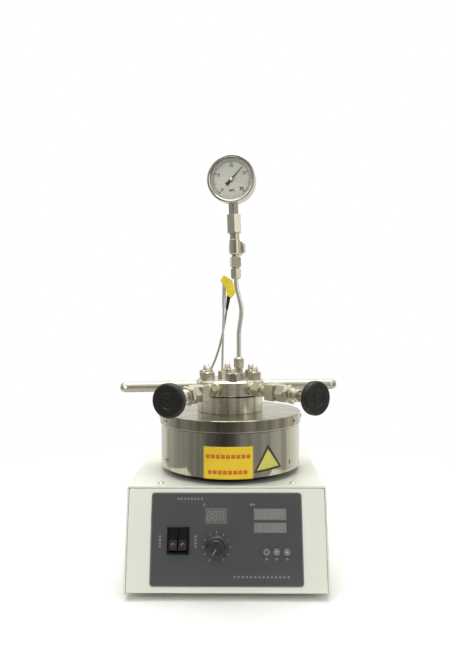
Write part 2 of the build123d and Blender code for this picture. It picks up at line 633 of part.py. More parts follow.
def speed_knob():
    """Skirted, fluted knob with its shaft in the potentiometer's bush."""
    low = OVERLAY_SHEET + SEAT_GAP
    top = low + SPEED_KNOB_HEIGHT
    cap_low = low + SPEED_KNOB_SKIRT
    knob = turned((0, low), (SPEED_KNOB_SKIRT_RADIUS, low), (SPEED_KNOB_SKIRT_RADIUS, low + 1.0),
                  (SPEED_KNOB_CAP_RADIUS + 0.8, cap_low), (SPEED_KNOB_CAP_RADIUS + 0.4, cap_low + 0.6),
                  (SPEED_KNOB_CAP_RADIUS - 0.4, top - 1.0), (SPEED_KNOB_CAP_RADIUS - 1.4, top), (0, top))
    flutes = []
    for i in range(SPEED_KNOB_RIBS):
        flutes.append(Rot(0, 0, 360 / SPEED_KNOB_RIBS * i) 
                      * Pos(SPEED_KNOB_CAP_RADIUS + SPEED_FLUTE_RADIUS - SPEED_FLUTE_DEPTH, 0, 0)
                      * disc(SPEED_FLUTE_RADIUS, cap_low + 1.0, top + 1))
    knob -= flutes
    knob -= disc(POT_BUSH_RADIUS + SPEED_KNOB_PLAY, low - 1, POT_BUSH_LENGTH + SPEED_KNOB_PLAY)
    knob += disc(SPEED_SHAFT_RADIUS, POT_BUSH_LENGTH - SPEED_SHAFT_LENGTH, POT_BUSH_LENGTH + SPEED_KNOB_PLAY + 0.1)
    return FRONT * Pos(SPEED_KNOB_X, SPEED_KNOB_Y, 0) * knob


def panel_key(x):
    """Small round key, its stem through the panel."""
    face = OVERLAY_SHEET + KEY_TRAVEL + SEAT_GAP
    back = -PANEL_SHEET - KEY_STEM_BACK
    key = turned((0, back), (KEY_STEM_RADIUS, back), (KEY_STEM_RADIUS, face),
                 (KEY_RADIUS, face), (KEY_RADIUS, face + KEY_RISE * 0.6), (KEY_RADIUS - 0.4, face + KEY_RISE),
                 (0, face + KEY_RISE))
    return FRONT * Pos(x, KEY_Y, 0) * key


def control_board():
    """Circuit board behind the front panel on four spacers, with its blocks of parts and key switches."""
    low = -WINDOW_DEPTH - BOARD_SHEET
    board = slab(-BOARD_WIDTH / 2, BOARD_WIDTH / 2, BOARD_BOTTOM, BOARD_TOP, low, -WINDOW_DEPTH)
    for x in (-BOARD_WIDTH / 2 + SPACER_INSET, BOARD_WIDTH / 2 - SPACER_INSET):
        for y in (BOARD_BOTTOM + SPACER_INSET, BOARD_TOP - SPACER_INSET):
            board += disc(SPACER_RADIUS, low, -PANEL_SHEET, x, y)
    board -= slab(SWITCH_X - SWITCH_WIDTH / 2, SWITCH_X + SWITCH_WIDTH / 2, SWITCH_Y - SWITCH_HEIGHT / 2,
                  SWITCH_Y + SWITCH_HEIGHT / 2, low - BEYOND, 0)
    half = KEY_SWITCH_SIDE / 2
    for x in KEY_XS.values():
        board += slab(x - half, x + half, KEY_Y - half, KEY_Y + half, -WINDOW_DEPTH,
                      -PANEL_SHEET - KEY_STEM_BACK - KEY_TRAVEL - SEAT_GAP)
    for x, rise, width, height, depth in BOARD_BLOCKS:
        board += slab(x, x + width, BOARD_BOTTOM + rise, BOARD_BOTTOM + rise + height, low - depth, low)
    return FRONT * board


def power_module():
    """Power board with its finned heat sink, on spacers on the tray."""
    floor = FOOT_HEIGHT + TRAY_SHEET
    x0 = CASE_CENTRE_X - CASE_WIDTH / 2 + COVER_SHEET + TRAY_PLAY + TRAY_SHEET + MODULE_SIDE_GAP
    y0 = MODULE_FRONT_Y
    x1, y1 = x0 + MODULE_WIDTH, y0 + MODULE_LENGTH
    low, high = floor + MODULE_SPACER, floor + MODULE_SPACER + BOARD_SHEET
    board = slab(x0, x1, y0, y1, low, high)
    for x in (x0 + SPACER_INSET, x1 - SPACER_INSET):
        for y in (y0 + SPACER_INSET, y1 - SPACER_INSET):
            board += disc(SPACER_RADIUS, floor, low, x, y)
    x0, x1 = x0 + SINK_SIDE_INSET, x1 - SINK_SIDE_INSET
    y0, y1 = y0 + SINK_END_INSET, y1 - SINK_END_INSET
    board += slab(x0, x1, y0, y1, high, high + SINK_BASE)
    for i in range(FIN_COUNT):
        fin = x0 + i * (x1 - x0 - FIN_WIDTH) / (FIN_COUNT - 1)
        board += slab(fin, fin + FIN_WIDTH, y0, y1, high + SINK_BASE, high + SINK_HEIGHT)
    return board


def rubber_feet():
    """Four turned rubber feet."""
    foot = turned((0, 1.5), (3, 1.5), (3, 0), (FOOT_RADIUS - 1.5, 0), (FOOT_RADIUS - 0.6, 0.6),
                  (FOOT_RADIUS, FOOT_HEIGHT), (0, FOOT_HEIGHT))
    foot_x = CASE_WIDTH / 2 - FOOT_SIDE_INSET
    places = [(CASE_CENTRE_X + s * foot_x, y) for s in (-1, 1) for y in (FOOT_FRONT_Y, CASE_REAR_Y - FOOT_REAR_INSET)]
    return group(Pos(x, y, 0) * foot for x, y in places)


def power_inlet():
    """Appliance inlet with its three blades, let into the rear wall."""
    frame = Plane(origin=(INLET_X, CASE_REAR_Y, INLET_Z), x_dir=(-1, 0, 0), z_dir=(0, 1, 0)).location
    width, height, thick = INLET_FLANGE
    flange = Pos(0, 0, thick / 2) * Box(width, height, thick)
    flange = fillet(flange.edges().filter_by(Axis.Z), INLET_FLANGE_CORNER)
    body_x, body_y = width / 2 - INLET_LEDGE_X, height / 2 - INLET_LEDGE_Z
    body = slab(-body_x, body_x, -body_y, body_y, -INLET_BODY_DEPTH, 0)
    cavity_width, cavity_height, cavity_depth = INLET_CAVITY
    half_w, half_h = cavity_width / 2, cavity_height / 2
    corner = INLET_MOUTH_CORNER
    mouth = Polyline((-half_w, -half_h), (half_w, -half_h), (half_w, half_h - corner), (half_w - corner, half_h),
                     (-half_w + corner, half_h), (-half_w, half_h - corner), close=True)
    inlet = flange + body - Pos(0, 0, thick - cavity_depth) * extrude(make_face(mouth), cavity_depth + 1)
    pin_x, pin_y, pin_length = INLET_PIN
    for x, y in ((-INLET_PIN_SPACING, -INLET_PIN_RISE), (0, INLET_PIN_RISE), (INLET_PIN_SPACING, -INLET_PIN_RISE)):
        inlet += Pos(x, y, thick - cavity_depth + pin_length / 2 - 0.5) * Box(pin_x, pin_y, pin_length + 1)
    return frame * inlet


# ------------------------------------------------------------------- furnace
def furnace_base(places):
    """Spun base: the recessed plinth ring and the pan that closes the shell."""
    base = ring(PLINTH_RADIUS, PLINTH_RADIUS - PLINTH_WALL, CASE_TOP, FURNACE_BOTTOM)
    base += disc(BASE_RADIUS, FURNACE_BOTTOM, FURNACE_BOTTOM + BASE_DISC)
    base += ring(BASE_RADIUS, BASE_RADIUS - BASE_WALL, FURNACE_BOTTOM, FURNACE_BOTTOM + BASE_WALL_HEIGHT)
    base -= disc(SHAFT_HOLE_RADIUS, CASE_TOP - 1, FURNACE_BOTTOM + 10)
    return base - screw_holes(places["shell"])


def furnace_shell(places):
    """Rolled stainless wall of the furnace."""
    wall = ring(SHELL_RADIUS, SHELL_RADIUS - SHELL_SHEET, FURNACE_BOTTOM, FURNACE_TOP - LID_SHEET)
    return wall - screw_holes(places["lid"]) - screw_holes(places["shell"])


def furnace_lid(places):
    """Pressed lid: the top plate with its round opening, and the skirt over the wall."""
    bottom = FURNACE_TOP - LID_DEPTH
    blank = disc(LID_RADIUS, bottom, FURNACE_TOP)
    blank = fillet(blank.edges().sort_by(Axis.Z)[-1], LID_EDGE_RADIUS)
    lid = blank - disc(LID_RADIUS - LID_SHEET, bottom - 1, FURNACE_TOP - LID_SHEET)
    lid -= disc(VESSEL_LOWER_RADIUS + VESSEL_PLAY, bottom, FURNACE_TOP + 1)
    return lid - screw_holes(places["lid"])


def heater_block():
    """Aluminium heating block with its element cast in, and the well that the vessel stands in."""
    block = disc(HEATER_RADIUS, HEATER_BOTTOM, HEATER_TOP)
    block = chamfer(block.edges().filter_by(GeomType.CIRCLE), 1.0)
    return block - disc(VESSEL_LOWER_RADIUS + VESSEL_PLAY, HEATER_SEAT, HEATER_TOP + 1)


def insulation_ring():
    """Stepped ring of insulation that carries the heater and leaves the magnet's room free."""
    low = FURNACE_BOTTOM + BASE_DISC
    body = ring(BASE_RADIUS - BASE_WALL - INSULATION_GAP, HEATER_RADIUS + SEAT_GAP, low, HEATER_TOP)
    return body + ring(HEATER_RADIUS + INSULATION_STEP, ROTOR_HOLE_RADIUS, low, HEATER_BOTTOM)


def stirrer_motor():
    """Motor hung under the case's top by its flange."""
    flange = disc(MOTOR_FLANGE_RADIUS, COVER_UNDERSIDE - MOTOR_FLANGE, COVER_UNDERSIDE)
    can = disc(MOTOR_RADIUS, COVER_UNDERSIDE - MOTOR_HEIGHT, COVER_UNDERSIDE)
    can = chamfer(can.edges().sort_by(Axis.Z)[0], 1.5)
    bore = disc(MOTOR_SHAFT_RADIUS + RUNNING_CLEARANCE, COVER_UNDERSIDE - MOTOR_BORE_DEPTH, COVER_UNDERSIDE + 1)
    return flange + can - bore


def stir_rotor():
    """Motor shaft with the carrier disc and bar magnet that drive the stirring bar."""
    shaft_low = COVER_UNDERSIDE - MOTOR_BORE_DEPTH + SEAT_GAP
    magnet_length, magnet_width, magnet_height = ROTOR_MAGNET
    disc_top = ROTOR_TOP - magnet_height / 2
    rotor = disc(MOTOR_SHAFT_RADIUS, shaft_low, disc_top)
    rotor += disc(ROTOR_RADIUS, disc_top - ROTOR_THICKNESS, disc_top)
    rotor += disc(ROTOR_HUB_RADIUS, disc_top - ROTOR_THICKNESS - ROTOR_HUB_HEIGHT, disc_top)
    return rotor + slab(-magnet_length / 2, magnet_length / 2, -magnet_width / 2, magnet_width / 2,
                        ROTOR_TOP - magnet_height, ROTOR_TOP)


# -------------------------------------------------------------------- vessel
def stud_places():
    """Centres of the six studs."""
    turns = [math.radians(-90 + HEAD_TURN + 360 / STUD_COUNT * i) for i in range(STUD_COUNT)]
    return [(STUD_CIRCLE * math.cos(a), STUD_CIRCLE * math.sin(a)) for a in turns]


def vessel_body():
    """One-piece pressure vessel: flange, lower body and cavity, with the studs' threaded holes."""
    bottom = FURNACE_TOP - VESSEL_LOWER_DEPTH
    body = disc(FLANGE_RADIUS, FURNACE_TOP, FLANGE_TOP)
    body = chamfer(body.edges().filter_by(GeomType.CIRCLE), 0.5)
    lower = disc(VESSEL_LOWER_RADIUS, bottom, FURNACE_TOP + 1)
    body += chamfer(lower.edges().sort_by(Axis.Z)[0], 1.5)
    cavity = disc(CAVITY_RADIUS, FLANGE_TOP - CAVITY_DEPTH, FLANGE_TOP + 1)
    body -= fillet(cavity.edges().sort_by(Axis.Z)[0], CAVITY_CORNER)
    body -= [disc(STUD_RADIUS, FLANGE_TOP - STUD_DEPTH - 2, FLANGE_TOP + 1, x, y) for x, y in stud_places()]
    return body


def seal_ring():
    """Flat seal between the vessel's face and the head's groove."""
    return ring(SEAL_OUTER_RADIUS, SEAL_INNER_RADIUS, FLANGE_TOP, HEAD_BOTTOM + SEAL_GROOVE)


def vessel_head():
    """Thick head with its stud holes, side ports, top ports and inner passages."""
    head = disc(HEAD_RADIUS, HEAD_BOTTOM, HEAD_TOP)
    rims = head.edges().filter_by(GeomType.CIRCLE).sort_by(Axis.Z)
    head = chamfer(rims[-1], HEAD_CHAMFER)
    head = chamfer(head.edges().filter_by(GeomType.CIRCLE).sort_by(Axis.Z)[0], 0.6)
    head -= [disc(STUD_RADIUS + STUD_HOLE_PLAY, HEAD_BOTTOM - 1, HEAD_TOP + 1, x, y) for x, y in stud_places()]
    head -= ring(SEAL_OUTER_RADIUS + 0.1, SEAL_INNER_RADIUS - 0.1, HEAD_BOTTOM - 1, HEAD_BOTTOM + SEAL_GROOVE)
    for angle in (-VALVE_ANGLE, VALVE_ANGLE):
        port = outward(HEAD_TURN + angle, SPOT_RADIUS, PORT_LEVEL)
        head -= port * disc(PORT_SPOT_RADIUS, 0, 10)
        head -= port * disc(PORT_RADIUS, -PORT_DEPTH, 1)
        head -= port * disc(PASSAGE_RADIUS, PASSAGE_FOOT - SPOT_RADIUS, -PORT_DEPTH + 1)
        foot = outward(HEAD_TURN + angle, PASSAGE_FOOT + PASSAGE_RADIUS, PORT_LEVEL).position
        head -= disc(PASSAGE_RADIUS, HEAD_BOTTOM - 1, PORT_LEVEL, foot.X, foot.Y)
    for angle in (-90, 90):
        port = outward(HEAD_TURN + angle, SPOT_RADIUS, PORT_LEVEL)
        head -= port * disc(ROD_SPOT_RADIUS, 0, 10)
        head -= port * disc(ROD_SPIGOT_RADIUS, -ROD_SPIGOT - 1, 1)
    head -= disc(PORT_RADIUS, HEAD_TOP - 10, HEAD_TOP + 1, GAUGE_PORT_X, PORT_Y)
    head -= disc(PASSAGE_RADIUS, HEAD_BOTTOM - 1, HEAD_TOP, GAUGE_PORT_X, PORT_Y)
    head -= PROBE * disc(3.5, -8, 1)
    head -= PROBE * disc(PROBE_GLAND_FLATS * 0.62, 0, 3)
    return head - PROBE * disc(PROBE_SHEATH_RADIUS + THREAD_PLAY, -HEAD_HEIGHT - 5, 0)


def head_studs():
    """Six studs screwed into the flange, their upper ends turned down and domed."""
    low = FLANGE_TOP - STUD_DEPTH
    shoulder = HEAD_TOP + NUT_HEIGHT + STUD_RISE - STUD_TIP_LENGTH
    tip = HEAD_TOP + NUT_HEIGHT + STUD_RISE
    radius = STUD_RADIUS - THREAD_PLAY
    dome_low = tip - STUD_TIP_RADIUS * 0.8
    outline = Polyline((0, tip), (0, low), (radius, low), (radius, shoulder), (STUD_TIP_RADIUS, shoulder + 0.8),
                       (STUD_TIP_RADIUS, dome_low))
    dome = cap_arc(STUD_TIP_RADIUS, dome_low, tip - dome_low)
    stud = revolve(Plane.XZ * make_face(outline + dome), Axis.Z)
    return group(Pos(x, y, 0) * stud for x, y in stud_places())


def head_nuts():
    """Six tall hexagon nuts on the head."""
    nut = hexagon(NUT_FLATS, HEAD_TOP, HEAD_TOP + NUT_HEIGHT) - disc(STUD_RADIUS, HEAD_TOP - 1, HEAD_TOP + 20)
    return group(Pos(x, y, 0) * Rot(0, 0, STUD_NUT_TURN * i) * nut for i, (x, y) in enumerate(stud_places()))


def stir_bar():
    """Coated stirring bar lying on the cavity's floor."""
    level = FLANGE_TOP - CAVITY_DEPTH + STIR_BAR_RADIUS
    bar = Cylinder(STIR_BAR_RADIUS, STIR_BAR_LENGTH)
    bar = fillet(bar.edges().filter_by(GeomType.CIRCLE), STIR_BAR_RADIUS * 0.7)
    return Pos(0, 0, level) * Rot(0, 90, 0) * bar


def handle_rod():
    """Handle rod along Z from the head's spot face: spigot, bar, ball end and cross hole."""
    length = ROD_REACH - SPOT_RADIUS
    outline = Polyline((0, length), (0, -ROD_SPIGOT), (ROD_SPIGOT_RADIUS - THREAD_PLAY, -ROD_SPIGOT),
                       (ROD_SPIGOT_RADIUS - THREAD_PLAY, 0), (ROD_RADIUS - 0.8, 0), (ROD_RADIUS, 0.8),
                       (ROD_RADIUS, length - ROD_RADIUS))
    ball = ThreePointArc((ROD_RADIUS, length - ROD_RADIUS),
                         (ROD_RADIUS * math.sin(math.pi / 4), length - ROD_RADIUS * (1 - math.cos(math.pi / 4))),
                         (0, length))
    rod = revolve(Plane.XZ * make_face(outline + ball), Axis.Z)
    return rod - Pos(0, 0, length - ROD_HOLE_INSET) * Rot(90, 0, 0) * Cylinder(ROD_HOLE_RADIUS, 4 * ROD_RADIUS)


def handle_rods():
    """Two handle rods screwed into the head's sides."""
    rods = []
    for angle in (-90, 90):
        rods.append(outward(HEAD_TURN + angle, SPOT_RADIUS, PORT_LEVEL) * handle_rod())
    return group(rods)


# ------------------------------------------------------------- needle valves
def valve_frame(side):
    """Frame of one valve: origin on the head's side, local z out along the valve, local x up."""
    return outward(HEAD_TURN + side * VALVE_ANGLE, HEAD_RADIUS, PORT_LEVEL)


BONNET_START = BLOCK_START + BLOCK_LENGTH + VALVE_NECK
LOCK_START = BONNET_START + BONNET_LENGTH + LOCK_GROOVE
GLAND_START = LOCK_START + LOCK_NUT_LENGTH
KNOB_BACK = VALVE_REACH - KNOB_RIM - KNOB_HUB


def valve_connectors():
    """Two fittings that join the valves to the head: thread, collar, neck and hexagon."""
    fitting = turned((0, -SPOT_FACE_DEPTH), (COLLAR_RADIUS - 0.6, -SPOT_FACE_DEPTH), (COLLAR_RADIUS, 0),
                     (COLLAR_RADIUS, COLLAR_LENGTH - 1.0), (COLLAR_RADIUS - 1.0, COLLAR_LENGTH), (0, COLLAR_LENGTH))
    fitting += disc(PORT_RADIUS - THREAD_PLAY, -SPOT_FACE_DEPTH - PORT_DEPTH + 1, 0)
    fitting += disc(CONNECTOR_NECK_RADIUS, 0, BLOCK_START)
    hex_start = COLLAR_LENGTH + CONNECTOR_GROOVE
    fitting += hexagon(CONNECTOR_FLATS, hex_start, hex_start + CONNECTOR_HEX_LENGTH, HEX_ACROSS)
    fitting -= disc(PASSAGE_RADIUS, -PORT_DEPTH - 5, BLOCK_START + 5)
    return group(valve_frame(side) * fitting for side in (-1, 1))


def valve_body(side):
    """Square valve body with its bored seat and the tube outlet on its outer side."""
    middle = BLOCK_START + BLOCK_LENGTH / 2
    half = BLOCK_WIDTH / 2
    block = slab(-half, half, -half, half, BLOCK_START, BLOCK_START + BLOCK_LENGTH)
    block = chamfer(block.edges(), BLOCK_EDGE)
    outlet = Pos(0, -side * half, middle) * Rot(side * 90, 0, 0)
    block += outlet * disc(OUTLET_RADIUS, -2, OUTLET_LENGTH + OUTLET_NUT)
    block += outlet * hexagon(OUTLET_FLATS, 0, OUTLET_NUT)
    block += disc(VALVE_NECK_RADIUS, BLOCK_START + BLOCK_LENGTH - 1, BONNET_START)
    block -= outlet * disc(PASSAGE_RADIUS, -half, OUTLET_LENGTH + OUTLET_NUT + 1)
    block -= disc(PASSAGE_RADIUS, BLOCK_START - 1, middle)
    block -= disc(STEM_RADIUS + RUNNING_CLEARANCE, middle + 2.0, BONNET_START + 1)
    return valve_frame(side) * (block - turned((0, middle - 1), (PASSAGE_RADIUS, middle - 1),
                                               (STEM_RADIUS + RUNNING_CLEARANCE, middle + 2.1), (0, middle + 2.1)))


def valve_bonnets():
    """Two hexagonal bonnets, each with the groove and nose that its nuts sit on."""
    bonnet = hexagon(BONNET_FLATS, BONNET_START, BONNET_START + BONNET_LENGTH, HEX_ACROSS)
    bonnet += disc(VALVE_NECK_RADIUS, BONNET_START + 1, GLAND_START)
    bonnet -= disc(STEM_RADIUS + RUNNING_CLEARANCE, BONNET_START - 1, GLAND_START + 1)
    return group(valve_frame(side) * bonnet for side in (-1, 1))


def valve_lock_nuts():
    """Two wide hexagon lock nuts on the bonnets' noses."""
    nut = hexagon(LOCK_NUT_FLATS, LOCK_START, GLAND_START, LOCK_NUT_TURN)
    nut -= disc(VALVE_NECK_RADIUS + THREAD_PLAY, LOCK_START - 1, GLAND_START + 1)
    return group(valve_frame(side) * nut for side in (-1, 1))


def packing_glands():
    """Two stepped round packing glands that the stems run through."""
    low = GLAND_START
    high = GLAND_START + GLAND_LENGTH
    gland = turned((0, low), (GLAND_RADIUS, low), (GLAND_RADIUS, low + 4.0), (GLAND_COLLAR_RADIUS - 1, low + 5.2),
                   (GLAND_COLLAR_RADIUS - 1, low + 7.0), (GLAND_COLLAR_RADIUS, low + 7.6),
                   (GLAND_COLLAR_RADIUS, high - 0.8), (GLAND_COLLAR_RADIUS - 0.8, high), (0, high))
    gland -= disc(STEM_RADIUS + RUNNING_CLEARANCE, low - 1, high + 1)
    return group(valve_frame(side) * gland for side in (-1, 1))


def valve_stem(side):
    """Stem with its conical needle on the seat."""
    middle = BLOCK_START + BLOCK_LENGTH / 2
    tip = middle - 0.6
    end = VALVE_REACH - KNOB_CAP_GROOVE - 1.5
    stem = turned((0, tip), (STEM_SEAT_RADIUS - 0.5, tip), (STEM_RADIUS, middle + 3.0), (STEM_RADIUS, end - 0.5),
                  (STEM_RADIUS - 0.5, end), (0, end))
    return valve_frame(side) * stem


def valve_knob(side):
    """Round hand knob with rounded rim, conical hub and ringed middle."""
    back, face = VALVE_REACH - KNOB_RIM, VALVE_REACH
    r = KNOB_RADIUS
    c = KNOB_ROUND
    outline = Polyline((0, face - 0.6), (0, KNOB_BACK), (KNOB_HUB_RADIUS - 1, KNOB_BACK), (KNOB_HUB_RADIUS, KNOB_BACK + 1),
                       (KNOB_HUB_RADIUS + 2.5, back), (r - c, back))
    rim = Line((r, back + c), (r, face - c))
    rear = RadiusArc((r - c, back), (r, back + c), -c)
    front = RadiusArc((r, face - c), (r - c, face), -c)
    front_face = Polyline((r - c, face), (KNOB_CAP_RADIUS + 2.2, face), (KNOB_CAP_RADIUS + 1.0, face - KNOB_CAP_GROOVE),
                          (KNOB_CAP_RADIUS, face - KNOB_CAP_GROOVE), (KNOB_CAP_RADIUS - 0.4, face - 0.2),
                          (KNOB_CAP_RADIUS * 0.45, face - 0.2), (KNOB_CAP_RADIUS * 0.4, face - 0.6), (0, face - 0.6))
    knob = revolve(Plane.XZ * make_face(outline + rear + rim + front + front_face), Axis.Z)
    knob -= disc(STEM_RADIUS + RUNNING_CLEARANCE, KNOB_BACK - 1, face - KNOB_CAP_GROOVE - 1.2)
    return valve_frame(side) * knob


# --------------------------------------------------------------- gauge line
def gauge_port_fitting():
    """Fitting in the head's gauge port: thread, hexagon and the tube's threaded neck."""
    fitting = hexagon(PORT_HEX_FLATS, 0, PORT_HEX_HEIGHT, PORT_HEX_TURN)
    fitting += disc(PORT_RADIUS - THREAD_PLAY, -9, 1)
    fitting += disc(PORT_NECK_RADIUS, PORT_HEX_HEIGHT - 1, PORT_HEX_HEIGHT + PORT_NECK_HEIGHT + 5)
    fitting -= disc(PASSAGE_RADIUS, -12, 40)
    bottom = TUBE_ROUTE[0][1] - HEAD_TOP
    fitting -= disc(TUBE_RADIUS + THREAD_PLAY, bottom, 40)
    return Pos(GAUGE_PORT_X, PORT_Y, HEAD_TOP) * fitting


LOWER_NUT_BASE = HEAD_TOP + PORT_HEX_HEIGHT + PORT_NECK_HEIGHT


def tube_nut():
    """Compression nut along Z: hexagon, coned end and the fitting's and tube's bores."""
    nut = hexagon(TUBE_NUT_FLATS, 0, TUBE_NUT_HEIGHT - TUBE_NUT_CONE, TUBE_NUT_TURN)
    nut += turned((0, TUBE_NUT_HEIGHT - 3), (5.6, TUBE_NUT_HEIGHT - 3), (5.6, TUBE_NUT_HEIGHT - 1.0),
                  (4.6, TUBE_NUT_HEIGHT), (0, TUBE_NUT_HEIGHT))
    nut -= disc(PORT_NECK_RADIUS + THREAD_PLAY, -1, 5.2)
    return nut - disc(TUBE_RADIUS + THREAD_PLAY, -1, TUBE_NUT_HEIGHT + 1)


def tube_nuts():
    """The two compression nuts at the ends of the gauge tube."""
    lower = Pos(GAUGE_PORT_X, PORT_Y, LOWER_NUT_BASE) * tube_nut()
    upper = COLUMN * Pos(0, 0, TUBE_NUT_HEIGHT + TUBE_NUT_NECK) * Rot(180, 0, 0) * tube_nut()
    return group([lower, upper])


def tube_path():
    """Centre line of the gauge tube."""
    points = [(x, PORT_Y, z) for x, z in TUBE_ROUTE]
    for rise in (-TUBE_STRAIGHT, TUBE_SEAT):
        points.append((COLUMN * Pos(0, 0, rise)).position)
    return FilletPolyline(*points, radius=list(TUBE_BENDS))


def gauge_tube():
    """Bent steel tube from the head to the gauge's column."""
    path = tube_path()
    start = Plane(origin=path @ 0, z_dir=path % 0)
    section = start * Circle(TUBE_RADIUS) - start * Circle(TUBE_RADIUS - TUBE_WALL)
    return sweep(section, path=path)


UNION_BASE = TUBE_NUT_HEIGHT + TUBE_NUT_NECK + UNION_GAP
TEE_BASE = UNION_BASE + UNION_LENGTH + UNION_TOP_NECK
COUPLING_BASE = TEE_BASE + TEE_HEIGHT + TEE_NECK
COUPLING_TOP = COUPLING_BASE + COUPLING_LENGTH


def tube_union():
    """Union above the upper nut: threaded neck, square body and top neck."""
    union = disc(PORT_NECK_RADIUS, UNION_BASE - UNION_GAP - 5, UNION_BASE + 1)
    half = UNION_SIDE / 2
    block = Rot(0, 0, UNION_TURN) * slab(-half, half, -half, half, UNION_BASE, UNION_BASE + UNION_LENGTH)
    block &= turned((0, UNION_BASE), (half, UNION_BASE), (half * 1.36, UNION_BASE + 1.6),
                    (half * 1.36, UNION_BASE + UNION_LENGTH - 1.6), (half, UNION_BASE + UNION_LENGTH),
                    (0, UNION_BASE + UNION_LENGTH))
    union += block
    union += disc(UNION_NECK_RADIUS, UNION_BASE + UNION_LENGTH - 1, TEE_BASE)
    union -= disc(PASSAGE_RADIUS, UNION_BASE - 20, TEE_BASE + 1)
    return COLUMN * (union - disc(TUBE_RADIUS + THREAD_PLAY, UNION_BASE - 20, TUBE_SEAT))


def tee_branch():
    """Frame of the tee's side branch, local z out along it, local x up."""
    a = math.radians(TEE_BRANCH_TURN)
    return Plane(origin=(0, 0, TEE_BASE + TEE_HEIGHT / 2), x_dir=(0, 0, 1),
                 z_dir=(math.cos(a), math.sin(a), 0)).location


def gauge_tee():
    """Tee between the union and the coupling, with a side branch for the burst-disc holder."""
    body = disc(TEE_RADIUS, TEE_BASE, TEE_BASE + TEE_HEIGHT)
    body = chamfer(body.edges().filter_by(GeomType.CIRCLE), 1.2)
    body += disc(TEE_NECK_RADIUS, TEE_BASE + TEE_HEIGHT - 1, COUPLING_BASE)
    body += tee_branch() * disc(TEE_BRANCH_RADIUS, 0, TEE_BRANCH_LENGTH)
    body -= disc(PASSAGE_RADIUS, TEE_BASE - 1, COUPLING_BASE + 1)
    return COLUMN * (body - tee_branch() * disc(PASSAGE_RADIUS, 0, TEE_BRANCH_LENGTH + 1))


def burst_disc_holder():
    """Burst-disc holder on the tee's branch: hexagon body, end cap and upward vent."""
    holder = hexagon(HOLDER_FLATS, TEE_BRANCH_LENGTH, TEE_BRANCH_LENGTH + HOLDER_LENGTH, 0)
    cap_low = TEE_BRANCH_LENGTH + HOLDER_LENGTH
    holder += turned((0, cap_low - 1), (HOLDER_CAP_RADIUS, cap_low - 1),
                     (HOLDER_CAP_RADIUS, cap_low + HOLDER_CAP_LENGTH - 1.2),
                     (HOLDER_CAP_RADIUS - 1.2, cap_low + HOLDER_CAP_LENGTH), (0, cap_low + HOLDER_CAP_LENGTH))
    middle = TEE_BRANCH_LENGTH + HOLDER_LENGTH / 2
    vent = Pos(0, 0, middle) * Rot(0, 90, 0)
    holder += vent * turned((0, 0), (HOLDER_VENT_RADIUS, 0), (HOLDER_VENT_RADIUS, HOLDER_VENT_HEIGHT - 1.5),
                            (HOLDER_VENT_RADIUS - 1.5, HOLDER_VENT_HEIGHT), (0, HOLDER_VENT_HEIGHT))
    return COLUMN * tee_branch() * holder


def gauge_coupling():
    """Long hexagon coupling under the gauge."""
    coupling = hexagon(COUPLING_FLATS, COUPLING_BASE, COUPLING_TOP, COUPLING_TURN)
    return COLUMN * (coupling - disc(PASSAGE_RADIUS, COUPLING_BASE - 1, COUPLING_TOP + 1))


def gauge_frame():
    """Frame of the gauge: origin at the middle of the bezel's face, local z out of the dial, local y up."""
    dial = Plane(origin=(0, -GAUGE_FRONT, 0), x_dir=(1, 0, 0), z_dir=(0, -1, 0)).location
    return COLUMN * Pos(0, 0, COUPLING_TOP + GAUGE_RISE) * Rot(0, 0, GAUGE_TURN) * dial


def gauge_case():
    """Steel gauge case, open to the front, with its square shank welded in from below."""
    depth = GAUGE_CASE_DEPTH
    case = disc(GAUGE_CASE_RADIUS, -BEZEL_LIP - depth, -BEZEL_LIP)
    case = fillet(case.edges().filter_by(GeomType.CIRCLE).sort_by(Axis.Z)[0], 2.0)
    case -= disc(GAUGE_CASE_RADIUS - GAUGE_CASE_WALL, -BEZEL_LIP - depth + GAUGE_CASE_WALL, 1)
    case += disc(4.0, -BEZEL_LIP - depth + 1, -DIAL_DEPTH - DIAL_THICKNESS)
    half = SHANK_SIDE / 2
    top = GAUGE_RISE - math.sqrt(GAUGE_CASE_RADIUS ** 2 - half ** 2) + GAUGE_CASE_WALL
    shank = Pos(0, 0, COUPLING_TOP) * Rot(0, 0, SHANK_TURN) * slab(-half, half, -half, half, 0, top)
    shank = chamfer(shank.edges().filter_by(Axis.Z), 1.0)
    clear = gauge_frame() * disc(GAUGE_CASE_RADIUS - GAUGE_CASE_WALL - 0.2, -BEZEL_LIP - depth + 2, 2)
    return gauge_frame() * case + (COLUMN * shank - clear)


def gauge_bezel():
    """Rolled bezel ring that holds the glass on the case."""
    r = BEZEL_RADIUS
    inner = GAUGE_CASE_RADIUS + 0.1
    w = BEZEL_WINDOW_RADIUS
    ring_face = Polyline((w, -BEZEL_LIP), (w, -0.9), (w + 0.9, -0.2), (r - 1.8, 0))
    roll = ThreePointArc((r - 1.8, 0), (r - 0.5, -0.5), (r, -1.8))
    skirt = Polyline((r, -1.8), (r, -BEZEL_DEPTH), (inner, -BEZEL_DEPTH), (inner, -BEZEL_LIP), (w, -BEZEL_LIP))
    return gauge_frame() * revolve(Plane.XZ * make_face(ring_face + roll + skirt), Axis.Z)


def gauge_glass():
    """Flat glass behind the bezel's lip."""
    return gauge_frame() * disc(GAUGE_CASE_RADIUS - GAUGE_CASE_WALL - 0.1, -BEZEL_LIP - GLASS_THICKNESS, -BEZEL_LIP)


def gauge_dial():
    """Dial plate on its post, with the arbor's hole in its middle."""
    dial = disc(DIAL_RADIUS, -DIAL_DEPTH - DIAL_THICKNESS, -DIAL_DEPTH)
    return gauge_frame() * (dial - disc(ARBOR_RADIUS + RUNNING_CLEARANCE, -DIAL_DEPTH - 5, 0))


